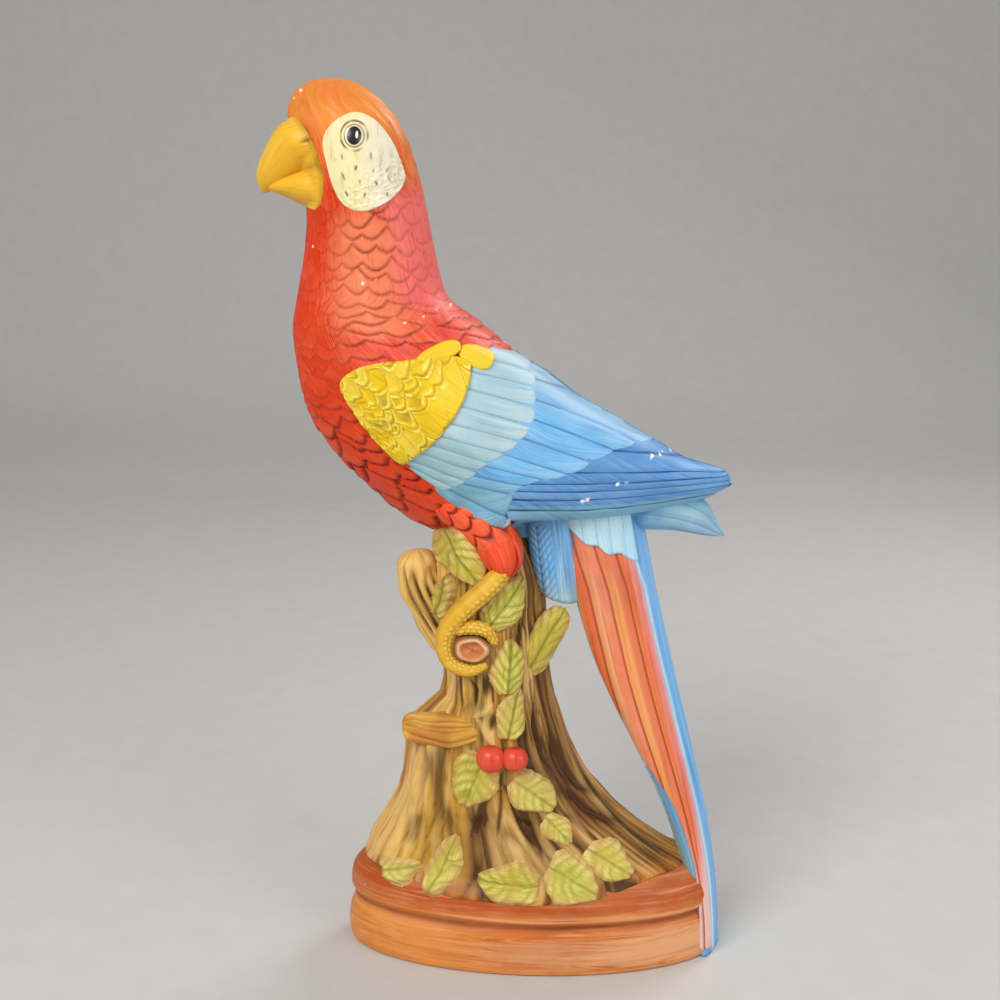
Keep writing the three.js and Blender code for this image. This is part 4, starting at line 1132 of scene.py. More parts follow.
def make_beak():
    """Hooked upper beak with a nostril and a shaded mouth line, over a shorter lower beak.

    Near the root both are spread until they stand out of the head: the half width becomes the soft maximum
    (a + b + sqrt((a - b)^2 + 1)) / 2 of the beak's own and the head's.
    """
    share, turn = ring_grid(0.004, 0.997, 120, 130)
    c, s = np.cos(turn), np.sin(turn)
    beaks = (("upper_beak", upper_beak_form, 1.0, 0.5), ("lower_beak", lower_beak_form, 0.0, 0.2))
    for name, form, nostril, lip in beaks:
        skin = form.point(share, turn)
        away = skin[..., [0, 2]] - from_perch([-40.3, 86.4])
        away = (away @ np.array([[0.87, -0.5], [0.5, 0.87]])) / [1.5, 0.7]
        hole = nostril * np.exp(-np.sum(away**2, axis=-1))
        lift = 0.5 * (noise(skin, 11.0, 6) - 0.5) - 0.7 * hole + lip * bell(c - 0.85, 0.1)
        rings = form.point(share, turn, lift)
        rings[..., 0] += 2.2 * (1 - c * c) * smooth(0.3, 0.0, share)
        at, head_turn = bird.locate(rings[..., [0, 2]])
        head = np.abs(bird.point(at, head_turn)[..., 1]) + lerp(-0.9, 0.8, end_round(share, 0.07))
        head = head - 3.0 * smooth(np.where(c > 0, 0.4, 0.8), 0.1, np.abs(s)) * smooth(0.15, 0.0, share)
        own = np.abs(rings[..., 1])
        wide = (own + head + np.sqrt((own - head) ** 2 + 1)) / 2 - 0.25
        spread = smooth(0.6, 0.3, share) * smooth(0.05, 0.4, np.abs(s))
        rings[..., 1] = np.sign(s) * lerp(own, np.maximum(wide, own), spread)
        channels = {
            "flow": (share * 40, turn * 14),
            "rise": unit(0.3 - 0.45 * c),
            "groove": unit(hole + 0.5 * smooth(0.93, 1.0, c)),
            "tint": 0.35,
            "mark": 0.3 * spots(skin[..., [0, 2]], [[-50.3, 82.6]], 0.8),
            "olive": unit(0.7 * smooth(0.45, 0.98, c) + 0.75 * smooth(0.16, 0.0, share)),
        }
        tube_piece(f"painted_{name}", rings, channels, horn, "horn", name)


def limb(path, radii, steps, around, reference, relief=None, round_ends=(1.0, 1.0)):
    """Rings carried along a smooth path with a radius at each of its points, and with domed ends.

    Each ring is square to the path. Its first axis is the path's direction crossed with a reference, and
    relief(d, turn) adds to its radius at a distance d along the path.
    """
    fine = np.linspace(0, 1, 400)
    curve = spline(path, fine)
    run = np.concatenate([[0], np.cumsum(np.linalg.norm(np.diff(curve, axis=0), axis=1))])
    share = np.interp(np.linspace(0.002, 0.998, steps) * run[-1], run, fine)
    distance = np.interp(share, fine, run)[:, None]
    centre = spline(path, share)
    along = np.gradient(centre, axis=0)
    along = along / np.linalg.norm(along, axis=1, keepdims=True)
    first = np.cross(along, reference)
    first = first / np.linalg.norm(first, axis=1, keepdims=True)
    second = np.cross(first, along)
    turn = np.linspace(0, 2 * np.pi, around, endpoint=False)[None, :]
    radius = spline(np.asarray(radii, float)[:, None], share)[:, :1]
    dome = end_round(distance, radius * round_ends[0]) * end_round(run[-1] - distance, radius * round_ends[1])
    radius = radius * dome + (relief(*np.broadcast_arrays(distance, turn)) * dome if relief else 0.0)
    ring = np.cos(turn)[..., None] * first[:, None] + np.sin(turn)[..., None] * second[:, None]
    return centre[:, None] + radius[..., None] * ring, distance + 0 * turn, turn + 0 * distance


def perch_path(points):
    """Path drawn from the perch: x and z in hundredths of the bird's height, y in millimetres."""
    table = np.array(points, float)
    table[:, [0, 2]] = from_perch(table[:, [0, 2]])
    return table


def make_legs():
    """Red thighs that carry the belly's scales on to one long lobe, and ochre feet that curl round a knot."""
    def scales(d, turn):
        """Distance to the edge of a scale, which is 7 mm high, and its tint."""
        row = np.interp(d, (0, 33, 60), (0.3, 5.0, 6.2))
        top, low, tint = shingles(row, (np.abs(turn - np.pi) / np.pi - 0.5) * 3.4, 0.42, 2.3, 0.3, 3)
        return np.minimum(top, low) * 7, tint

    def pillows(d, turn):
        pillow = end_round(scales(d, turn)[0], 2.6) - 0.7
        return 1.7 * pillow + 0.2 * np.sin(9 * turn) * smooth(34, 40, d)

    for word, side in SIDES:
        path = perch_path([
            [-14, side * 9, 14.4], [-7.2, side * 14.2, 9], [-1, side * 18.4, 4.6], [2.8, side * 21, -0.4],
            [4.1, side * 22.2, -6.4],
        ])
        rings, d, turn = limb(path, [6, 7.4, 7.6, 7.4, 5], 115, 130, (0, 1, 0), pillows, (1.0, 1.1))
        near, tint = scales(d, turn)
        lobe = smooth(33, 38, d)
        channels = {
            "flow": (d, turn * 8),
            "rise": 0.2 + 0.25 * end_round(near, 2.5),
            "groove": bell(near, 0.75) + 0.1 * np.abs(np.cos(4.5 * turn)) * lobe,
            "tint": lerp(tint, 0.3, lobe),
        }
        tube_piece(f"painted_{word}_thigh", rings, channels, vermilion, "scarlet", f"{word}_thigh")
        make_foot(word, side)


def make_foot(word, side):
    """Leg and lower toe as one limb, upper toe as another, with rows of beads along their inner sides.

    A bead is a bump of |cos| along the limb and of |cos| round it, set like bricks, on the part of the ring
    that faces the knot.
    """
    def y(out):
        return side * (STUMP_DEPTH / 2 + out)

    leg = [
        [4.1, side * 23, -3.6], [0, y(4.2), -8.2], [-4.2, y(4.8), -12], [-7.6, y(4.6), -15.8],
        [-9.6, y(3.6), -20], [-9.3, y(3), -24], [-7.3, y(3), -26.6], [-3.6, y(3), -27.6],
        [0.2, y(2.6), -26.2],
    ]
    toe = [[-7.6, y(3.6), -18.2], [-3.6, y(3.9), -17.4], [0, y(3.6), -18.3], [2, y(2.4), -21.6]]
    limbs = (
        ("foot", leg, [3.6, 3.8, 3.8, 3.6, 3.2, 2.8, 2.6, 2.3, 1.4], 190, 1.0, 0.1),
        ("toe", toe, [2.3, 2.6, 2.4, 1.5], 90, 0.4, -0.2),
    )
    for part, path, radii, steps, facing, start in limbs:
        def inner(turn):
            faced = facing * np.cos(turn) + (1.25 - facing) * side * np.sin(turn)
            return smooth(start, start + 0.45, faced)

        def rows(d, turn):
            shift = np.pi / 2 * np.mod(np.floor(5 * turn / np.pi + 0.5), 2)
            return np.abs(np.cos(np.pi * d / BEAD + shift)) * (0.15 + 0.85 * np.abs(np.cos(5 * turn)))

        def beads(d, turn):
            return 0.38 * inner(turn) * (rows(d, turn) ** 0.7 - 0.45)

        rings, d, turn = limb(perch_path(path), radii, steps, 60, (0, 1, 0), beads)
        bead = rows(d, turn)
        between = 0.4 * inner(turn) * np.exp(-bead / 0.25)
        channels = {
            "flow": (d, turn * 3),
            "rise": unit(0.1 + 0.8 * inner(turn) * bead),
            "groove": unit(between + 0.25 * smooth(-0.2, -0.9, np.cos(turn))),
            "tint": hashed(np.floor(d / BEAD + 0.5), 6),
        }
        tube_piece(f"painted_{word}_{part}", rings, channels, ochre, "toe", f"{word}_foot")


# Tail

def make_tail():
    """Blue tail: a bright strip along the ridge with a white edge, and a teal face low down in front."""
    share, turn = ring_grid(0.002, 0.998, 170, 110)
    skin = tail_form.point(share, turn)
    c = np.cos(turn)
    down = 1 - skin[..., 2] / TAIL_TOP_Z
    back = tail_edges(down)[0] - skin[..., 0]
    channels = {
        "flow": (skin[..., 2], turn * 9),
        "rise": unit(0.4 + 0.4 * np.abs(c)),
        "tint": 0.4,
        "mark": 0.45 * bell(c + 0.9, 0.05),
        "pale": 0.85 * bell(back - ridge_strip(down) + 0.6, 0.7) * smooth(0.02, 0.06, down),
        "teal": smooth(-0.2, -0.7, c) * smooth(70, 40, skin[..., 2]),
    }
    rings = tail_form.point(share, turn, 0.3 * (noise(skin, (8, 8, 40), 4) - 0.5))
    tube_piece("painted_tail", rings, channels, tail_blue, "navy", "tail")
    for word, side in SIDES:
        make_tail_feathers(word, side)
        make_tail_coverts(word, side)


def ridge_strip(share):
    """Width of the blue strip along the tail's ridge, wide under the coverts."""
    return np.interp(share, (0, 0.06, 0.13, 1), (7.6, 6.8, 5.4, 3.8))


def tail_sheet(share, back, side, lift, edge):
    """Top and underside of a sheet on the tail, at a share of its length and a distance from the ridge."""
    ridge, z, _, _ = tail_edges(share)
    return laid(tail_form, *tail_form.locate(stack(ridge - back, z)), side, lift, edge)


def make_tail_feathers(word, side):
    """Long red feathers beside the blue ridge: lines keep their distance from it, so the front ones end
    one after another where the tail narrows. Low down they leave the tail's front free."""
    s, n = np.meshgrid(np.linspace(-0.03, 0.985, 230), np.linspace(0, 1, 76), indexing="ij")
    first = ridge_strip(s)
    margin = np.interp(s, (0, 0.5, 0.64, 0.78, 1), (0.7, 0.9, 5.0, 4.6, 1.7))
    wide = np.maximum(tail_edges(s)[2] - margin, first + 2.5) - first
    back = first + wide * n
    pitch = lerp(7.0, 2.8, smooth(0.3, 0.95, s))
    place = (back - first) / pitch + 0.1 * np.sin(3.2 * s + 1.0)
    k = np.floor(place)
    f = place - k
    groove = bell(np.minimum(f, 1 - f) * pitch, 0.38) * smooth(0.3, 0.6, place)
    half_way = bell((f - 0.52) * pitch, 0.35) * smooth(0.12, 0.2, s) * smooth(0.42, 0.3, s) * (k == 2)
    lift = 0.9 + 0.5 * (1 - np.abs(2 * f - 1) ** 2) - 0.35 * groove
    edge = end_round(n * wide, 1.2) * end_round((1 - n) * wide, 1.4)
    edge = edge * end_round((0.985 - s) * TAIL_RUN, 3) * end_round((s + 0.03) * TAIL_RUN, 3)
    channels = {
        "flow": (s * TAIL_RUN, back),
        "rise": unit(0.6 * bell(f - 0.62, 0.16) + 0.3 * smooth(0.8, 0.98, s)),
        "groove": unit(0.8 * groove + 0.5 * half_way),
        "tint": hashed(k, 31),
        "pale": unit(0.65 * smooth(0.6, 0.95, s) + 0.85 * bell(back - first - 0.2, 1.1)),
        "warm": smooth(0.3, 0.62, f) * smooth(1.0, 0.85, f) * (place >= 0.9) * smooth(0.02, 0.16, s),
        "rosy": 0.9 * smooth(0.9, 0.3, place) + 0.8 * smooth(0.75, 0.97, s),
        "flame": smooth(0.32, 0.06, f) * (place > 0.9),
    }
    node = f"{word}_tail_feathers"
    slab_piece(f"painted_{node}", tail_sheet(s, back, side, lift, edge), channels, tangerine, "orange", node)


def make_tail_coverts(word, side):
    """Pale blue coverts that hang over the head of the red feathers, longest by the ridge, streaked along."""
    n, s = np.meshgrid(np.linspace(0, 1, 110), np.linspace(0, 1, 60), indexing="ij")
    back = lerp(5.4, 30.6, n)
    edge_at = (5.4, 8, 9.5, 11.7, 16.9, 19, 23.5, 25.6, 30.6)
    end = np.interp(back, edge_at, (0.075, 0.068, 0.062, 0.054, 0.048, 0.036, 0.024, 0.012, -0.03))
    end = end + 0.003 * np.sin(0.9 * back)
    share = lerp(-0.08, end, s)
    lane = back / 4.7 - 1.5 * share
    strand = np.abs(np.sin(np.pi * lane))
    groove = np.exp(-strand / 0.1)
    lift = 2.2 + 0.3 * strand - 0.15 * groove
    edge = end_round((1 - s) * (end + 0.08) * TAIL_RUN, 1.4) * end_round(s * 20, 1.0)
    edge = edge * end_round(n * 25, 1.2) * end_round((1 - n) * 25, 1.5)
    off_ridge = smooth(6.5, 10, back)
    channels = {
        "flow": (share * TAIL_RUN, back),
        "rise": unit((0.6 * strand + 0.2) * off_ridge),
        "groove": 0.5 * groove,
        "tint": hashed(np.floor(lane), 41) * off_ridge,
        "mark": 0.2 * bell(back - 8.6, 0.8),
        "deep": unit(0.15 + 0.4 * bell(back - 17, 2.0)),
        # Painted light: the coverts painted paler all over, against the shade under the wing
        "bright": 0.9,
    }
    sheet = tail_sheet(share, back, side, lift, edge)
    slab_piece(f"painted_{word}_tail_coverts", sheet, channels, sky, "sky", "tail")


def make_plumes():
    """Blue plume under the tail, with barbs on each side of a quill, and a pointed rump tuft."""
    share, turn = ring_grid(0.004, 0.996, 125, 140)
    c = np.cos(turn)
    skin = coverts_form.point(share, turn)
    z = skin[..., 2]
    from_quill = skin[..., 0] - from_perch([10.9, 0])[0] + 0.12 * (z - PERCH_Z)
    beside = np.abs(from_quill)
    barb = np.abs(np.sin((z - 1.3 * beside) * 1.05 + 0.8 * np.sin(z / 7)))
    quill = bell(from_quill, 0.5)
    herring = smooth(6.5, 4.5, beside) * smooth(0.02, 0.1, share) * smooth(0.97, 0.85, share)
    behind = smooth(5.0, 7.0, from_quill)
    streak = noise(stack(from_quill, 0, z), (1.3, 1, 14), 58) * behind
    lift = 0.6 * streak + (0.35 * barb - 0.2 - 0.4 * quill) * herring + 0.4 * (noise(skin, 7.0, 53) - 0.5)
    washed = 0.3 * (1 - streak) * behind + 0.5 * (quill + np.exp(-barb / 0.2)) * herring
    channels = {
        "flow": (z - 0.9 * beside * herring, from_quill),
        "rise": unit(0.45 * barb * herring + 0.15 + 0.6 * streak),
        "groove": unit(washed),
        "tint": 0.35,
        "teal": unit(smooth(0.3, 0.85, share) + 0.2 * behind),
    }
    rings = coverts_form.point(share, turn, lift)
    tube_piece("painted_under_tail_coverts", rings, channels, covert_blue, "blue", "under_tail_coverts")

    skin = rump_form.point(share, turn)
    twist = 4 * turn + 2.4 * share
    strand = np.abs(np.sin(twist))
    lift = 0.45 * (strand**0.7 - 0.5) * smooth(0.02, 0.2, share) + 0.5 * (noise(skin, 9.0, 54) - 0.5)
    channels = {
        "flow": (share * 60, turn * 7),
        "rise": 0.35 * strand + 0.3 * smooth(0.4, 0.9, share) * smooth(0.0, 0.8, c),
        "groove": 0.45 * np.exp(-strand / 0.12),
        "tint": hashed(np.floor(twist / np.pi), 52),
        "mark": 0.16 * smooth(0.45, 0.95, share) * smooth(0.2, 0.9, c),
        "teal": 0.5 + 0.5 * smooth(0.3, 1.0, np.sin(turn / 2)),
        "deep": 0.3 + 0.5 * smooth(0.5, 0.1, share) + 0.4 * smooth(0.2, -0.7, c),
    }
    tube_piece("painted_rump_plume", rump_form.point(share, turn, lift), channels, sky, "sky", "rump_plume")


# Stump and plinth

STUMP_CRACKS = [
    [[-13.6, 81], [-14.1, 76], [-14.6, 73]], [[-14.6, 73.4], [-18.3, 70.8], [-21.9, 64.8], [-22.8, 58]],
    [[-13.8, 76], [-9.9, 70], [-6.2, 68.1], [-3.4, 66.7]], [[-14.1, 73.4], [-14, 65.4], [-15.3, 54]],
    [[-10.8, 69.5], [-6, 57.6], [0.7, 49.7], [2.6, 45]], [[-19.6, 69.3], [-22.3, 59.2], [-25.5, 52]],
    [[-2.7, 112], [-2.5, 95.6], [1, 84.8], [8.9, 70.8], [22.4, 58.9], [36, 51]],
    [[2.8, 96.4], [6.9, 83.4], [15.7, 70.3], [29.4, 60.3], [47.9, 52]],
    [[9.7, 70.7], [18.4, 61.8], [32.7, 54], [49, 47]], [[-38.5, 90.9], [-39, 79.5], [-42.6, 64.4]],
    [[-33.4, 92.9], [-33.8, 80.1], [-37, 65], [-39.7, 52.8]], [[-30.5, 116], [-30.4, 108.8], [-29.3, 103]],
    [[-24.1, 103], [-23.7, 110.6], [-26.4, 114.9]], [[-6.2, 149], [-7, 136], [-10.5, 125], [-7.2, 117]],
]
STUMP_HOLLOWS = [[[-18.9, 119.5], [-19.6, 114], [-20, 107.5]], [[-17.2, 103], [-18.2, 95]]]
# Broad folds, sunk and painted dark as shade; the first one, below the lower branch, is its painted shadow
STUMP_FOLDS = [
    [[-36.3, 89.5], [-36.5, 79.6], [-37.8, 66.1]], [[-2.1, 104], [-0.1, 91.5], [7.6, 79.7], [13.4, 73],
    [22.9, 66.8]],
    [[-54, 60], [-57, 54], [-61, 47]], [[-11.7, 72.7], [-5.2, 60.7], [0.5, 51]],
    [[-43, 60], [-46, 54], [-48, 47]],
]
STUMP_RIDGES = [
    [[-25, 99.6], [-23, 100.5], [-19.7, 102.9], [-16.6, 106.6]], [[-24, 100], [-22, 98.4], [-20.7, 94.6],
    [-18, 90]],
    [[-6.4, 132], [-5.1, 119.7], [-6.4, 106]], [[-43, 92], [-42.4, 80], [-44, 68], [-50, 56]],
    [[-33, 88], [-32.6, 76], [-34, 62]],
]


def stump_swell(z, turn):
    """How far the front of the stump stands out of its plain ovals, by a table of heights above the plinth:
    it draws in over the lower branch and swells under it."""
    heights = np.array([0, 9, 19, 26, 33, 42, 49, 56, 61, 66, 72, 78, 84, 90]) + PLINTH_HEIGHT
    out = (0.6, 2.6, 3.4, 2.8, 3.2, 4.6, 5.6, 4.2, -0.6, -5.0, -5.2, -4.2, -1.8, 0)
    return smooth(-0.35, -0.85, np.cos(turn)) * np.interp(z, heights, out)


def make_stump():
    """Bark: cracks that run up the stump and out along the roots.

    The fine cracks are the valleys of noise that is stretched along the height and wrapped round the axis.
    The main ones are drawn, with broad folds and raised edges. The bark is calm under the leaves. The roots'
    ends hang over the plinth's rim by up to 7 mm and sink into it.
    """
    share, even = ring_grid(0, 1, 300, 300)
    turn = even + 0.2 * np.sin(2 * even) - 0.25 * np.cos(even) * np.abs(np.cos(even))
    c, s = np.cos(turn), np.sin(turn)
    end_on = np.abs(c)
    hang = 1.5 + 5.5 * smooth(0.85, 0.35, end_on) + 2.5 * (noise(stack(20 * c, 20 * s, 0), 5.0, 24) - 0.5)
    bottom = PLINTH_HEIGHT - hang
    z = lerp(bottom, PERCH_Z + 6, share)
    skin = stump_form.point(z, turn)
    xz = skin[..., [0, 2]]
    drift = turn + 0.05 * np.sin(z / 17.0 + 3 * np.sin(z / 41.0))
    wrapped = stack(22 * np.cos(drift), 22 * np.sin(drift), z)
    coarse = np.abs(2 * noise(wrapped, (5.5, 5.5, 46), 11) - 1)
    fine = np.abs(2 * noise(wrapped, (2.3, 2.3, 24), 12) - 1)
    hair = noise(wrapped, (0.9, 0.9, 16), 18)
    ridge = smooth(0.0, 0.6, coarse)
    grit = smooth(0, 0.5, fine)
    front = smooth(0.15, 0.7, np.abs(s))
    # Front end of the stump, which gets painted light
    lit_front = smooth(-0.35, -0.85, c)
    cracks = strokes(xz, STUMP_CRACKS, 0.85) * front
    hollows = strokes(xz, STUMP_HOLLOWS, 1.5) * front
    # Sunk folds that are painted dark as shade
    folds = strokes(xz, STUMP_FOLDS, 2.6) * front
    raised = strokes(xz, STUMP_RIDGES, 1.3) * front * (1 - hollows)
    lift = 1.1 * (ridge - 0.6) * lerp(0.5, 1.0, front) + 0.55 * (grit - 0.6) + 0.4 * (hair - 0.5)
    lift = lift + 1.4 * (noise(skin, 14.0, 13) - 0.5)
    lift = lift - 1.2 * cracks - 2.0 * hollows - 1.7 * folds + 1.3 * raised
    lift = lift + 2.0 * smooth(135, 152, z) * smooth(-0.3, -0.8, c)
    lift = lift * (1 - leaf_cover(xz) * front) + stump_swell(z, turn)
    lift = lerp(-1.3, lift * smooth(0, 8, z - bottom) + 0.5, end_round(z - bottom, 3.5))
    low = smooth(0.3, 0.55, np.exp((PLINTH_HEIGHT - z) / ROOT_FADE))
    washed = 0.75 * np.exp(-coarse / 0.13) + 0.5 * np.exp(-fine / 0.16) + 0.5 * smooth(0.42, 0.2, hair)
    washed = unit(washed + 0.85 * cracks + hollows + 0.5 * folds)
    mossy = 0.8 * smooth(0.45, 0.75, noise(skin, (12, 12, 30), 17)) * (1 - low)
    mossy = mossy + bell(skin[..., 0] + 28, 5) * bell(z - 110, 9)
    # Rear side of the stump, which gets painted shade
    behind = smooth(0.1, 0.6, c) * (0.45 + 0.55 * noise(skin, (9, 9, 30), 26))
    channels = {
        "flow": (z, turn * 24),
        # On the front end the ridges are painted paler and the cracks less dark, as painted light
        "rise": unit(0.5 * ridge + 0.3 * grit + 0.9 * hair - 0.45 + 0.4 * lit_front + 0.8 * raised),
        "groove": washed * (1 - 0.4 * lit_front) * (1 - 0.7 * raised),
        "tint": noise(wrapped, (4, 4, 40), 14),
        "moss": unit(mossy) * front,
        # Gold on the front end: partly the bark's colour and partly painted light
        "gold": smooth(0.05, -0.6, c) * (0.6 + 0.5 * noise(skin, (9, 9, 26), 25)),
        # Painted shade: dark brown on the rear and in the broad folds
        "painted_shade": unit(behind + 0.9 * folds),
        "plum": low * front * (0.3 + 0.6 * noise(skin, (8, 8, 26), 15)) * smooth(0.6, 0.15, end_on),
        "rust": 0.95 * smooth(8.0, 1.5, z - bottom) + 0.6 * smooth(0.94, 1.0, end_on),
    }
    tube_piece("painted_stump", stump_form.point(z, turn, lift), channels, bark, "bark", "tree_stump")


def make_branches():
    """Two broken branches and the knots that the feet grip. The upper one has seven deep slots along the
    middle of its length, at drawn turns, between pale ridges. The lower one is a blunt wedge with level grain
    that tapers into the trunk."""
    upper = perch_path([[-8.5, -1, -27.4], [-12.6, -2, -18.8], [-15.6, -4, -10.4], [-16.5, -5, -2.8]])
    lower = [STUMP_X, -STUMP_DEPTH / 2, PLINTH_HEIGHT] + np.array([
        [10, 10, 59], [-4, 3.6, 57.6], [-18, 3, 57], [-31.8, 7, 56.6],
    ])

    def slots(d, turn):
        total = 0.0
        for middle in (0.9, 1.45, 2.0, 3.7, 4.2, 4.7, 5.2):
            total = total + bell(np.arccos(np.cos(turn - middle - 0.012 * (d - 20))), 0.13)
        return total * smooth(39, 30, d + 3 * np.cos(3 * turn)) * smooth(6, 14, d)

    def wrapped(d, turn, length, radius, seed):
        """Noise along a branch and round it."""
        return noise(stack(d / length, radius * np.cos(turn), radius * np.sin(turn)), 1.0, seed)

    def grain(d, turn, seed):
        return np.abs(2 * wrapped(d, turn + 0.2 * np.sin(d / 7.0 + seed), 26, 2.6, seed) - 1)

    def upper_relief(d, turn):
        lumps = 2.6 * (wrapped(d, turn, 7, 1.6, 29) - 0.5)
        return 1.1 * grain(d, turn, 19) * smooth(52, 44, d) - 1.7 * slots(d, turn) + lumps

    def lower_relief(d, turn):
        lumps = 3.0 * (wrapped(d, turn, 8, 1.3, 31) - 0.5)
        return 0.9 * smooth(0.0, 0.5, grain(d, turn, 20)) - 0.5 + lumps

    branches = (
        ("upper", upper, [6, 7.2, 8, 6.8], 0.75, upper_relief, 19, (0.7, 0.45, 0.75, 0.7, 0.3, 0.2)),
        ("lower", lower, [1.6, 4.0, 6.4, 3.8], 0.6, lower_relief, 20, (0.2, 0.35, 0.3, 0.35, 0.75, 0.45)),
    )
    for word, path, radii, blunt, relief, seed, (rise, wash, tint, gold, rust, moss) in branches:
        rings, d, turn = limb(path, radii, 115, 110, (0, 1, 0), relief, (1.0, blunt))
        high = word == "upper"
        cut = slots(d, turn) * high
        beside = smooth(0.02, 0.3, cut) * smooth(0.75, 0.35, cut)
        own = grain(d, turn, seed)
        line = lerp(1.0, own, smooth(52, 44, d)) if high else own
        channels = {
            "flow": (d, turn * 8),
            "rise": unit(rise + 0.3 * line + 0.9 * beside),
            "groove": unit(0.85 * cut**1.5 + wash * np.exp(-line / 0.14)),
            "tint": tint + 0.3 * own,
            "gold": unit(gold + 0.4 * noise(rings, 8.0, 32)),
            "rust": rust * smooth(0.4, 0.75, noise(rings, 9.0, 28)),
            "moss": moss * smooth(0.5, 0.8, noise(rings, 9.0, 23)),
        }
        node = f"{word}_branch_stub"
        tube_piece(f"painted_{node}", rings, channels, bark, "bark", node)
    for word, side in SIDES:
        make_knot(word, side)


def make_knot(word, side):
    """Cut branch end: a profile of radius and reach turned about an oval, with a raised rim and a dished
    core."""
    profile = [
        [6.6, -12], [6.9, 1], [7.0, 3.4], [6.9, 4.0], [6.5, 3.9], [6.1, 4.3], [5.5, 5.3], [4.7, 5.5],
        [4.0, 4.9], [3.2, 4.1], [1.7, 3.9], [0.1, 4.0],
    ]
    share, turn = ring_grid(0, 1, 80, 72)
    radius, reach = np.moveaxis(spline(profile, share), -1, 0)
    x, z = from_perch([-3.3, -22.6])
    face = smooth(0.3, 0.4, share)
    uneven = radius * (1 + 0.05 * np.cos(2 * turn + 0.7) + 0.03 * np.cos(5 * turn))
    out = side * (STUMP_DEPTH / 2 + reach + 0.3 * np.cos(3 * turn) * face)
    channels = {
        "flow": (turn * 5, radius * 2),
        # Pale rim, brightest on its top: a painted highlight
        "rise": unit(bell(radius - 5.0, 0.8) * face * (0.6 + 0.4 * np.sin(turn))),
        "groove": unit(0.9 * bell(radius - 6.5, 0.5) * face + 0.7 * (1 - face)),
        "tint": 0.3,
        "ring": smooth(3.4, 4.6, radius),
    }
    rings = stack(x + uneven * np.cos(turn), out, z + 0.8 * uneven * np.sin(turn))
    tube_piece(f"painted_{word}_knot", rings, channels, heartwood, "bark", f"{word}_knot")


def up_stump(share):
    return PLINTH_HEIGHT + STUMP_HEIGHT * share


LEAVES = [
    [-0.24, PERCH_Z - 2.4 * DRAWN, 1.02, 0.88, -57, True],
    [-0.44, PERCH_Z - 12.2 * DRAWN, 0.82, 0.5, 80, False],
    [0.18, PERCH_Z - 12.4 * DRAWN, 1, 0.8, 58, True],
    [0.22, up_stump(0.65), 0.96, 0.74, 88, True],
    [0.27, up_stump(0.51), 0.92, 0.66, 80, True],
    [-0.12, up_stump(0.295), 1.04, 1.04, -110, True],
    [0.53, up_stump(0.26), 1, 0.9, -38, True],
    [-0.87, PLINTH_HEIGHT + 1, 0.74, 0.64, 18, False],
    [-0.42, PLINTH_HEIGHT + 5.4, 1.08, 0.76, 68, True],
    [0.27, PLINTH_HEIGHT + 0.3, 1.1, 0.94, 176, True],
    [0.95, PLINTH_HEIGHT + 1, 0.98, 1.04, -30, True],
    [1.36, PLINTH_HEIGHT + 6, 0.92, 0.8, -32, True],
    [0.81, PLINTH_HEIGHT + 18.4, 0.76, 0.68, -46, False],
]


def leaf_cover(xz):
    """1 under a leaf and 0 past its border, in side view: a soft oval round each leaf's middle."""
    total = np.zeros(xz.shape[:-1])
    for x, z, length, width, tip, _ in LEAVES:
        away = xz - [STUMP_X + x * STUMP_LENGTH, z]
        angle = np.radians(tip)
        along = away @ [np.cos(angle), np.sin(angle)] / (LEAF_LENGTH * length * 0.5)
        across = away @ [-np.sin(angle), np.cos(angle)] / (LEAF_WIDTH * width * 0.62)
        total = np.maximum(total, smooth(1.45, 1.05, np.hypot(along, across)))
    return total


def leaf_relief(u, v, half, bend):
    """Lift, vein depth and tooth of a leaf at u along, from -1 at the stalk to 1 at the tip, and v across.

    A sunk midrib runs along v = 0, and side veins leave it at a slant, so their phase is u less a part of
    |v|, bent by noise.
    """
    midrib = bell(v * half, 0.55)
    vein = np.abs(np.sin(np.pi * (3.0 * (u - 0.55 * np.abs(v)) + 0.9 * bend)))
    groove = np.exp(-vein / 0.2) * (1 - midrib) * smooth(0.03, 0.2, np.abs(v))
    return 0.4 * vein**0.7 - 0.5 * midrib, unit(0.7 * midrib + 0.55 * groove), vein


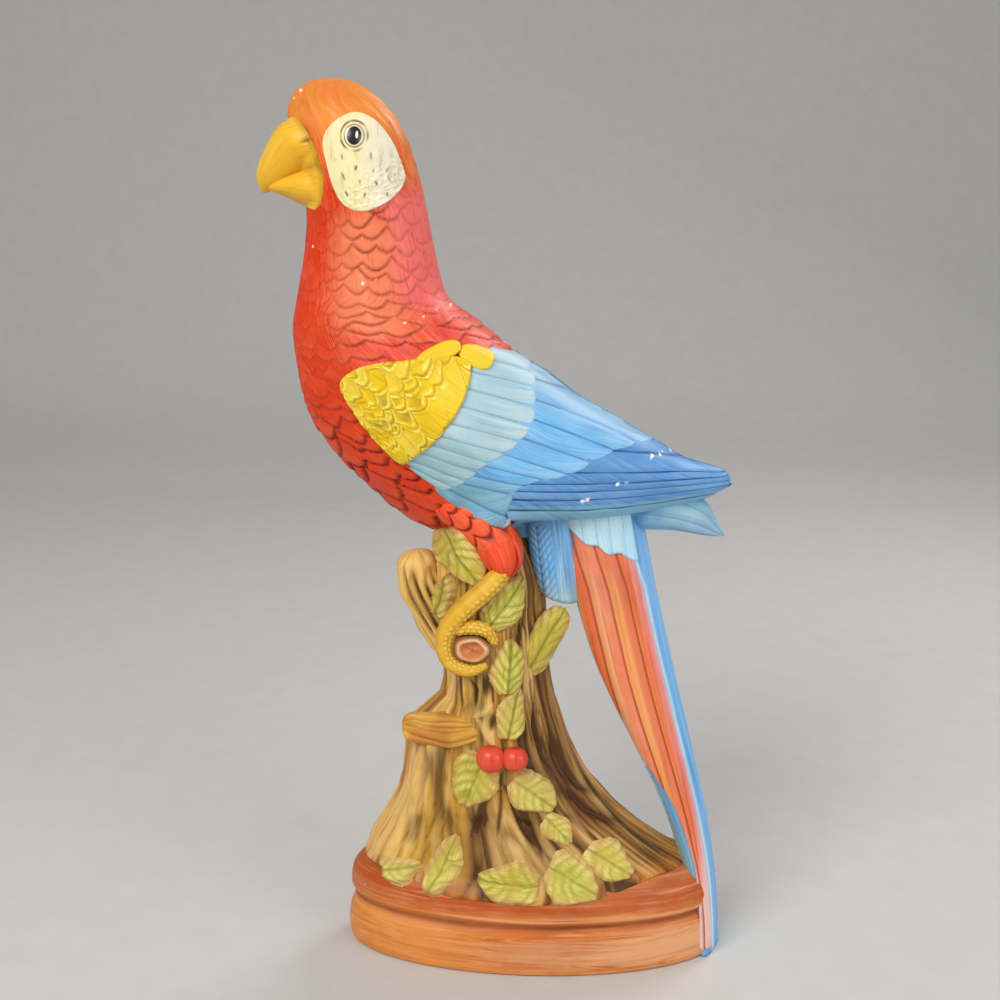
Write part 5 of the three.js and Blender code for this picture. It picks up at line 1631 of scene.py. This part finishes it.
def make_leaves():
    """Leaves pressed on the stump: pointed outlines with a toothed edge, a midrib and slanting veins.

    Their borders sink softly into the bark and take its colour, more softly on the lower leaves.
    """
    u, v = np.meshgrid(np.linspace(-1, 1, 64), np.linspace(-1, 1, 41), indexing="ij")
    for k, (x, z, length, width, tip, both) in enumerate(LEAVES):
        soft = 1.0 * (k > 4)
        half = LEAF_WIDTH * width * 0.65 * (1 + u) ** 0.5 * (1 - u) ** 0.75 + 0.2
        half = half * (1 + 0.09 * np.sin(4.5 * u + 6 * hashed(k, 66)) * np.sign(v))
        tooth = 1 + (0.16 - 0.08 * soft) * np.mod(3.0 * u + 0.3, 1) * np.abs(v) ** 3
        along = LEAF_LENGTH * length * 0.53 * u
        across = half * v * tooth
        xz = [STUMP_X + x * STUMP_LENGTH, z] + turned(along, across, np.radians(tip))
        bend = noise(stack(xz[..., 0], xz[..., 1], 0), 4.5, 63) - 0.5
        relief, groove, vein = leaf_relief(u, v, half, bend)
        border = np.minimum((1 - np.abs(v)) * half, (1 - np.abs(u)) * length * 12)
        edge = smooth(0.0, 2.6 + 1.2 * soft, border)
        lift = 1.9 + (0.9 - 0.2 * soft) * relief + (1.0 + 0.2 * soft) * bend + 2.0 * (k < 2)
        lit = 0.25 * smooth(0.3, 0.8, v) * (1 - soft)
        channels = {
            "flow": (along - 0.6 * np.abs(across), across),
            "rise": unit(0.6 * vein * smooth(0.3, 2.2, border) + lit + 0.6 * bend),
            "groove": groove * smooth(0.0, 1.5, border) * (1 - 0.3 * soft),
            "tint": lerp(hashed(k, 61), 1.0, 0.5 * soft),
            "fresh": smooth(0.8, 0.1, np.abs(v)) * (0.1 + 0.7 * hashed(k, 62) + bend),
            "wood": unit(smooth(4.4 + 1.6 * soft, 1.3, border + 2.6 * bend) + 0.4 * smooth(0.2, 0.7, v)),
        }
        at, turn = stump_form.locate(xz)
        for word, side in SIDES if both else SIDES[:1]:
            sheet = laid(stump_form, at, turn, side, lift, edge, stump_swell(at, turn))
            node = f"{word}_leaf_{k + 1}"
            slab_piece(f"painted_{node}", sheet, channels, leaf_green, "leaf", node)
    make_side_leaf()


def make_side_leaf():
    """Leaf that stands off the stump under the tail, with the same veins on both of its faces."""
    share, turn = ring_grid(0.004, 0.99, 64, 64)
    c = np.cos(turn)
    bend = noise(side_leaf_form.point(share, turn), 4.5, 65) - 0.5
    relief, groove, vein = leaf_relief(2 * share - 1, c, 5.0, bend)
    channels = {
        "flow": (share * 30, c * 5),
        "rise": unit(0.35 * vein + 0.5 * smooth(0.6, 1, np.abs(c))),
        "groove": groove,
        "tint": 0.5,
        "fresh": 0.4 * smooth(0.75, 0.1, np.abs(c)),
        "wood": unit(smooth(0.6, 0.95, np.abs(c) + 0.6 * bend) + 0.5 * smooth(0.45, 0.1, share)),
    }
    rings = side_leaf_form.point(share, turn, 0.8 * relief)
    tube_piece("painted_side_leaf", rings, channels, leaf_green, "leaf", "side_leaf")


def make_berries():
    """Berries: balls drawn in a little at a dimple where the stalk was."""
    lean, turn = ring_grid(0.02, np.pi - 0.02, 40, 56)
    ball = stack(np.sin(lean) * np.cos(turn), np.sin(lean) * np.sin(turn), np.cos(lean))
    dimple = bell(lean, 0.35)
    uneven = 1.03 - 0.12 * dimple + 0.04 * np.cos(2 * turn + 0.6) * np.sin(lean) ** 2
    channels = {"flow": (lean * 6, turn * 5), "rise": 0.3, "groove": 0.7 * dimple, "tint": 0.4}
    for word, side in SIDES:
        for place, x, diameter in (("front", 0.06, FRONT_BERRY), ("rear", 0.29, REAR_BERRY)):
            at, where = stump_form.locate(np.array([STUMP_X + x * STUMP_LENGTH, up_stump(0.38)]))
            centre = stump_form.point(at, where, diameter * 0.3, side)
            rings = centre + (diameter / 2 * uneven)[..., None] * ball
            node = f"{word}_berry_{place}"
            tube_piece(f"painted_{node}", rings, channels, berry_red, "berry", node)


def make_plinth():
    """Oval plinth: a profile of two rounded rings with a groove between them, a little uneven by hand. The
    upper ring ends below in a narrow ridge over the groove."""
    profile = [
        [30, 0], [6, 0], [1.6, 0.3], [0.4, 1.8], [0, 5], [0.1, 10], [0.5, 14], [1.3, 17], [2.2, 18.8],
        [2.1, 20.2], [1.3, 21.4], [0.7, 22.8], [0.8, 24.4], [0.9, 27], [2.0, 31], [5, 34.6], [10, 36.6],
        [28, 37],
    ]
    share, turn = ring_grid(0, 1, 180, 270)
    c, s = np.cos(turn), np.sin(turn)
    inset, z = np.moveaxis(spline(profile, share), -1, 0)
    z = np.maximum(z, 0.0)
    inset = inset + 4.5 * smooth(0.9, 0.97, c)
    spot = stack((HALF_LENGTH - inset) * c, (HALF_DEPTH - inset) * s, z)
    uneven = (noise(spot, (18, 18, 9), 71) - 0.5) * smooth(1, 6, z)
    brushed = noise(stack(40 * turn / np.pi, z, inset), (9, 0.8, 2.5), 74)
    left = smooth(0.1, -0.8, c)
    ridge = bell(z - 22.8, 0.9) * (1 - left)
    # Painted reflection: a paler band low on the right of the lower ring
    right = smooth(0.1, 0.7, c) * bell(z - 9, 6)
    chips = 0.0
    for at, wide, height, tall in ((3.35, 0.02, 10, 1.6), (3.55, 0.015, 26, 1.5), (3.25, 0.02, 22, 0.8)):
        chips = chips + bell(turn - at, wide) * bell(z - height, tall)
    reddened = smooth(23, 27, z) * (0.55 + 0.45 * noise(spot, 20.0, 73))
    channels = {
        "flow": (turn * 60, z + inset),
        "rise": unit(0.1 + 0.6 * brushed + 0.8 * ridge + right),
        "groove": unit(0.65 * bell(z - 19.5, 1.6) + 0.25 * smooth(0.6, 0.9, brushed)),
        "tint": noise(spot, (40, 40, 2.5), 72),
        "mark": 0.22 * bell(z - 0.9, 0.9) + 0.5 * chips + 0.12 * ridge,
        "red": unit(reddened + 0.3 * smooth(0.6, 0.8, brushed)),
        # Pale band round the lower ring, paler on the right by the painted reflection
        "blush": bell(z - 9, 6.5) * (1 - left) * (0.5 + 0.5 * brushed + 0.3 * right),
        "soil": smooth(30.5, 35, z) * (0.4 + 0.6 * noise(spot, 14.0, 75)),
        "amber": unit(0.9 * left * smooth(24, 16, z) + smooth(5, 1.5, z) * (0.3 + 0.7 * brushed)),
    }
    rings = spot + stack(uneven * c, uneven * s, 0)
    tube_piece("painted_plinth", rings, channels, plinth_brown, "plinth", "base_plinth")


# Stage, light and camera

def make_stage():
    """Pale floor that curves up into a backdrop far behind the object."""
    across, run = np.meshgrid(np.linspace(-1.8, 1.8, 40), np.linspace(0, 1, 120), indexing="ij")
    profile = [[-1.6, 0], [-0.6, 0], [0.4, 0], [0.9, 0.0], [1.25, 0.08], [1.45, 0.4], [1.5, 1.0],
    [1.5, 2.2]]
    back, up = np.moveaxis(spline(profile, run), -1, 0)
    points = stack(across, back, np.maximum(up, 0)).reshape(-1, 3)
    index = np.arange(across.size).reshape(across.shape)
    quads = stack(index[:-1, :-1], index[1:, :-1], index[1:, 1:], index[:-1, 1:]).reshape(-1, 4)
    mesh = bpy.data.meshes.new("floor")
    mesh.from_pydata(points.tolist(), [], quads.tolist())
    mesh.polygons.foreach_set("use_smooth", np.ones(len(quads), bool))
    floor = bpy.data.objects.new("floor", mesh)
    bpy.context.scene.collection.objects.link(floor)
    material, tree, shader, place = new_material("pale_studio_paper")
    tone = mixed(tree, cloud(tree, place, 60.0, 4.0), linear("#c9c7c2"), linear("#d2d0cb"))
    wire(tree, shader, {"Base Color": tone, "Roughness": 0.85})
    mesh.materials.append(material)
    floor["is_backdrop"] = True


def stand(name, data, axes, place):
    """Adds a light or camera at a place in metres, with its right, up and back axes."""
    matrix = np.eye(4)
    matrix[:3, :3] = np.stack(axes, axis=1)
    matrix[:3, 3] = place
    made = bpy.data.objects.new(name, data)
    made.matrix_world = Matrix(matrix.tolist())
    bpy.context.scene.collection.objects.link(made)
    return made


def make_lights():
    """Soft studio light: a large key from the upper left in front, a fill from the right, a rim from
    behind."""
    target = np.array([0.0, 0.0, 0.18])
    lamps = (
        ("key", (-0.55, -0.85, 0.95), 0.7, 11.0, (1.0, 0.97, 0.93)),
        ("fill", (0.85, -0.75, 0.55), 0.8, 4.6, (0.95, 0.97, 1.0)),
        ("rim", (0.55, 0.6, 0.9), 0.5, 4.0, (1.0, 1.0, 1.0)),
    )
    for name, place, size, power, colour in lamps:
        data = bpy.data.lights.new(name, "AREA")
        data.shape = "DISK"
        data.size = size
        data.energy = power
        data.color = colour
        back = np.array(place) - target
        back = back / np.linalg.norm(back)
        right = np.cross((0, 0, 1), back)
        right = right / np.linalg.norm(right)
        stand(name, data, (right, np.cross(back, right), back), place)
    world = bpy.data.worlds.new("studio")
    world.use_nodes = True
    sky_light = {"Color": (0.9, 0.93, 1.0, 1.0), "Strength": 0.36}
    wire(world.node_tree, world.node_tree.nodes["Background"], sky_light)
    bpy.context.scene.world = world


def make_camera():
    """Camera at the photograph's angle: a little above the bird, level with its wing, rolled slightly."""
    pitch, yaw, roll = np.radians([11.909, 0.8, 0.827])
    ahead = np.array([-np.sin(yaw) * np.cos(pitch), np.cos(yaw) * np.cos(pitch), -np.sin(pitch)])
    level = np.array([np.cos(yaw), np.sin(yaw), 0.0])
    upright = np.cross(level, ahead)
    right = np.cos(roll) * level + np.sin(roll) * upright
    up = np.cos(roll) * upright - np.sin(roll) * level
    data = bpy.data.cameras.new("camera")
    data.sensor_width = 36.0
    data.lens = 46.8
    place = np.array([-9.6, -478.47, 279.82]) * MM
    bpy.context.scene.camera = stand("camera", data, (right, up, -ahead), place)


make_body()
make_wings()
make_face()
make_beak()
make_legs()
make_tail()
make_plumes()
make_stump()
make_branches()
make_leaves()
make_berries()
make_plinth()
make_stage()
make_lights()
make_camera()
bpy.context.scene.view_settings.view_transform = "Standard"

visual_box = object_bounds()
({name: [list(map(float, corner)) for corner in box] for name, box in
           (("cad", cad_box), ("visual", visual_box))})
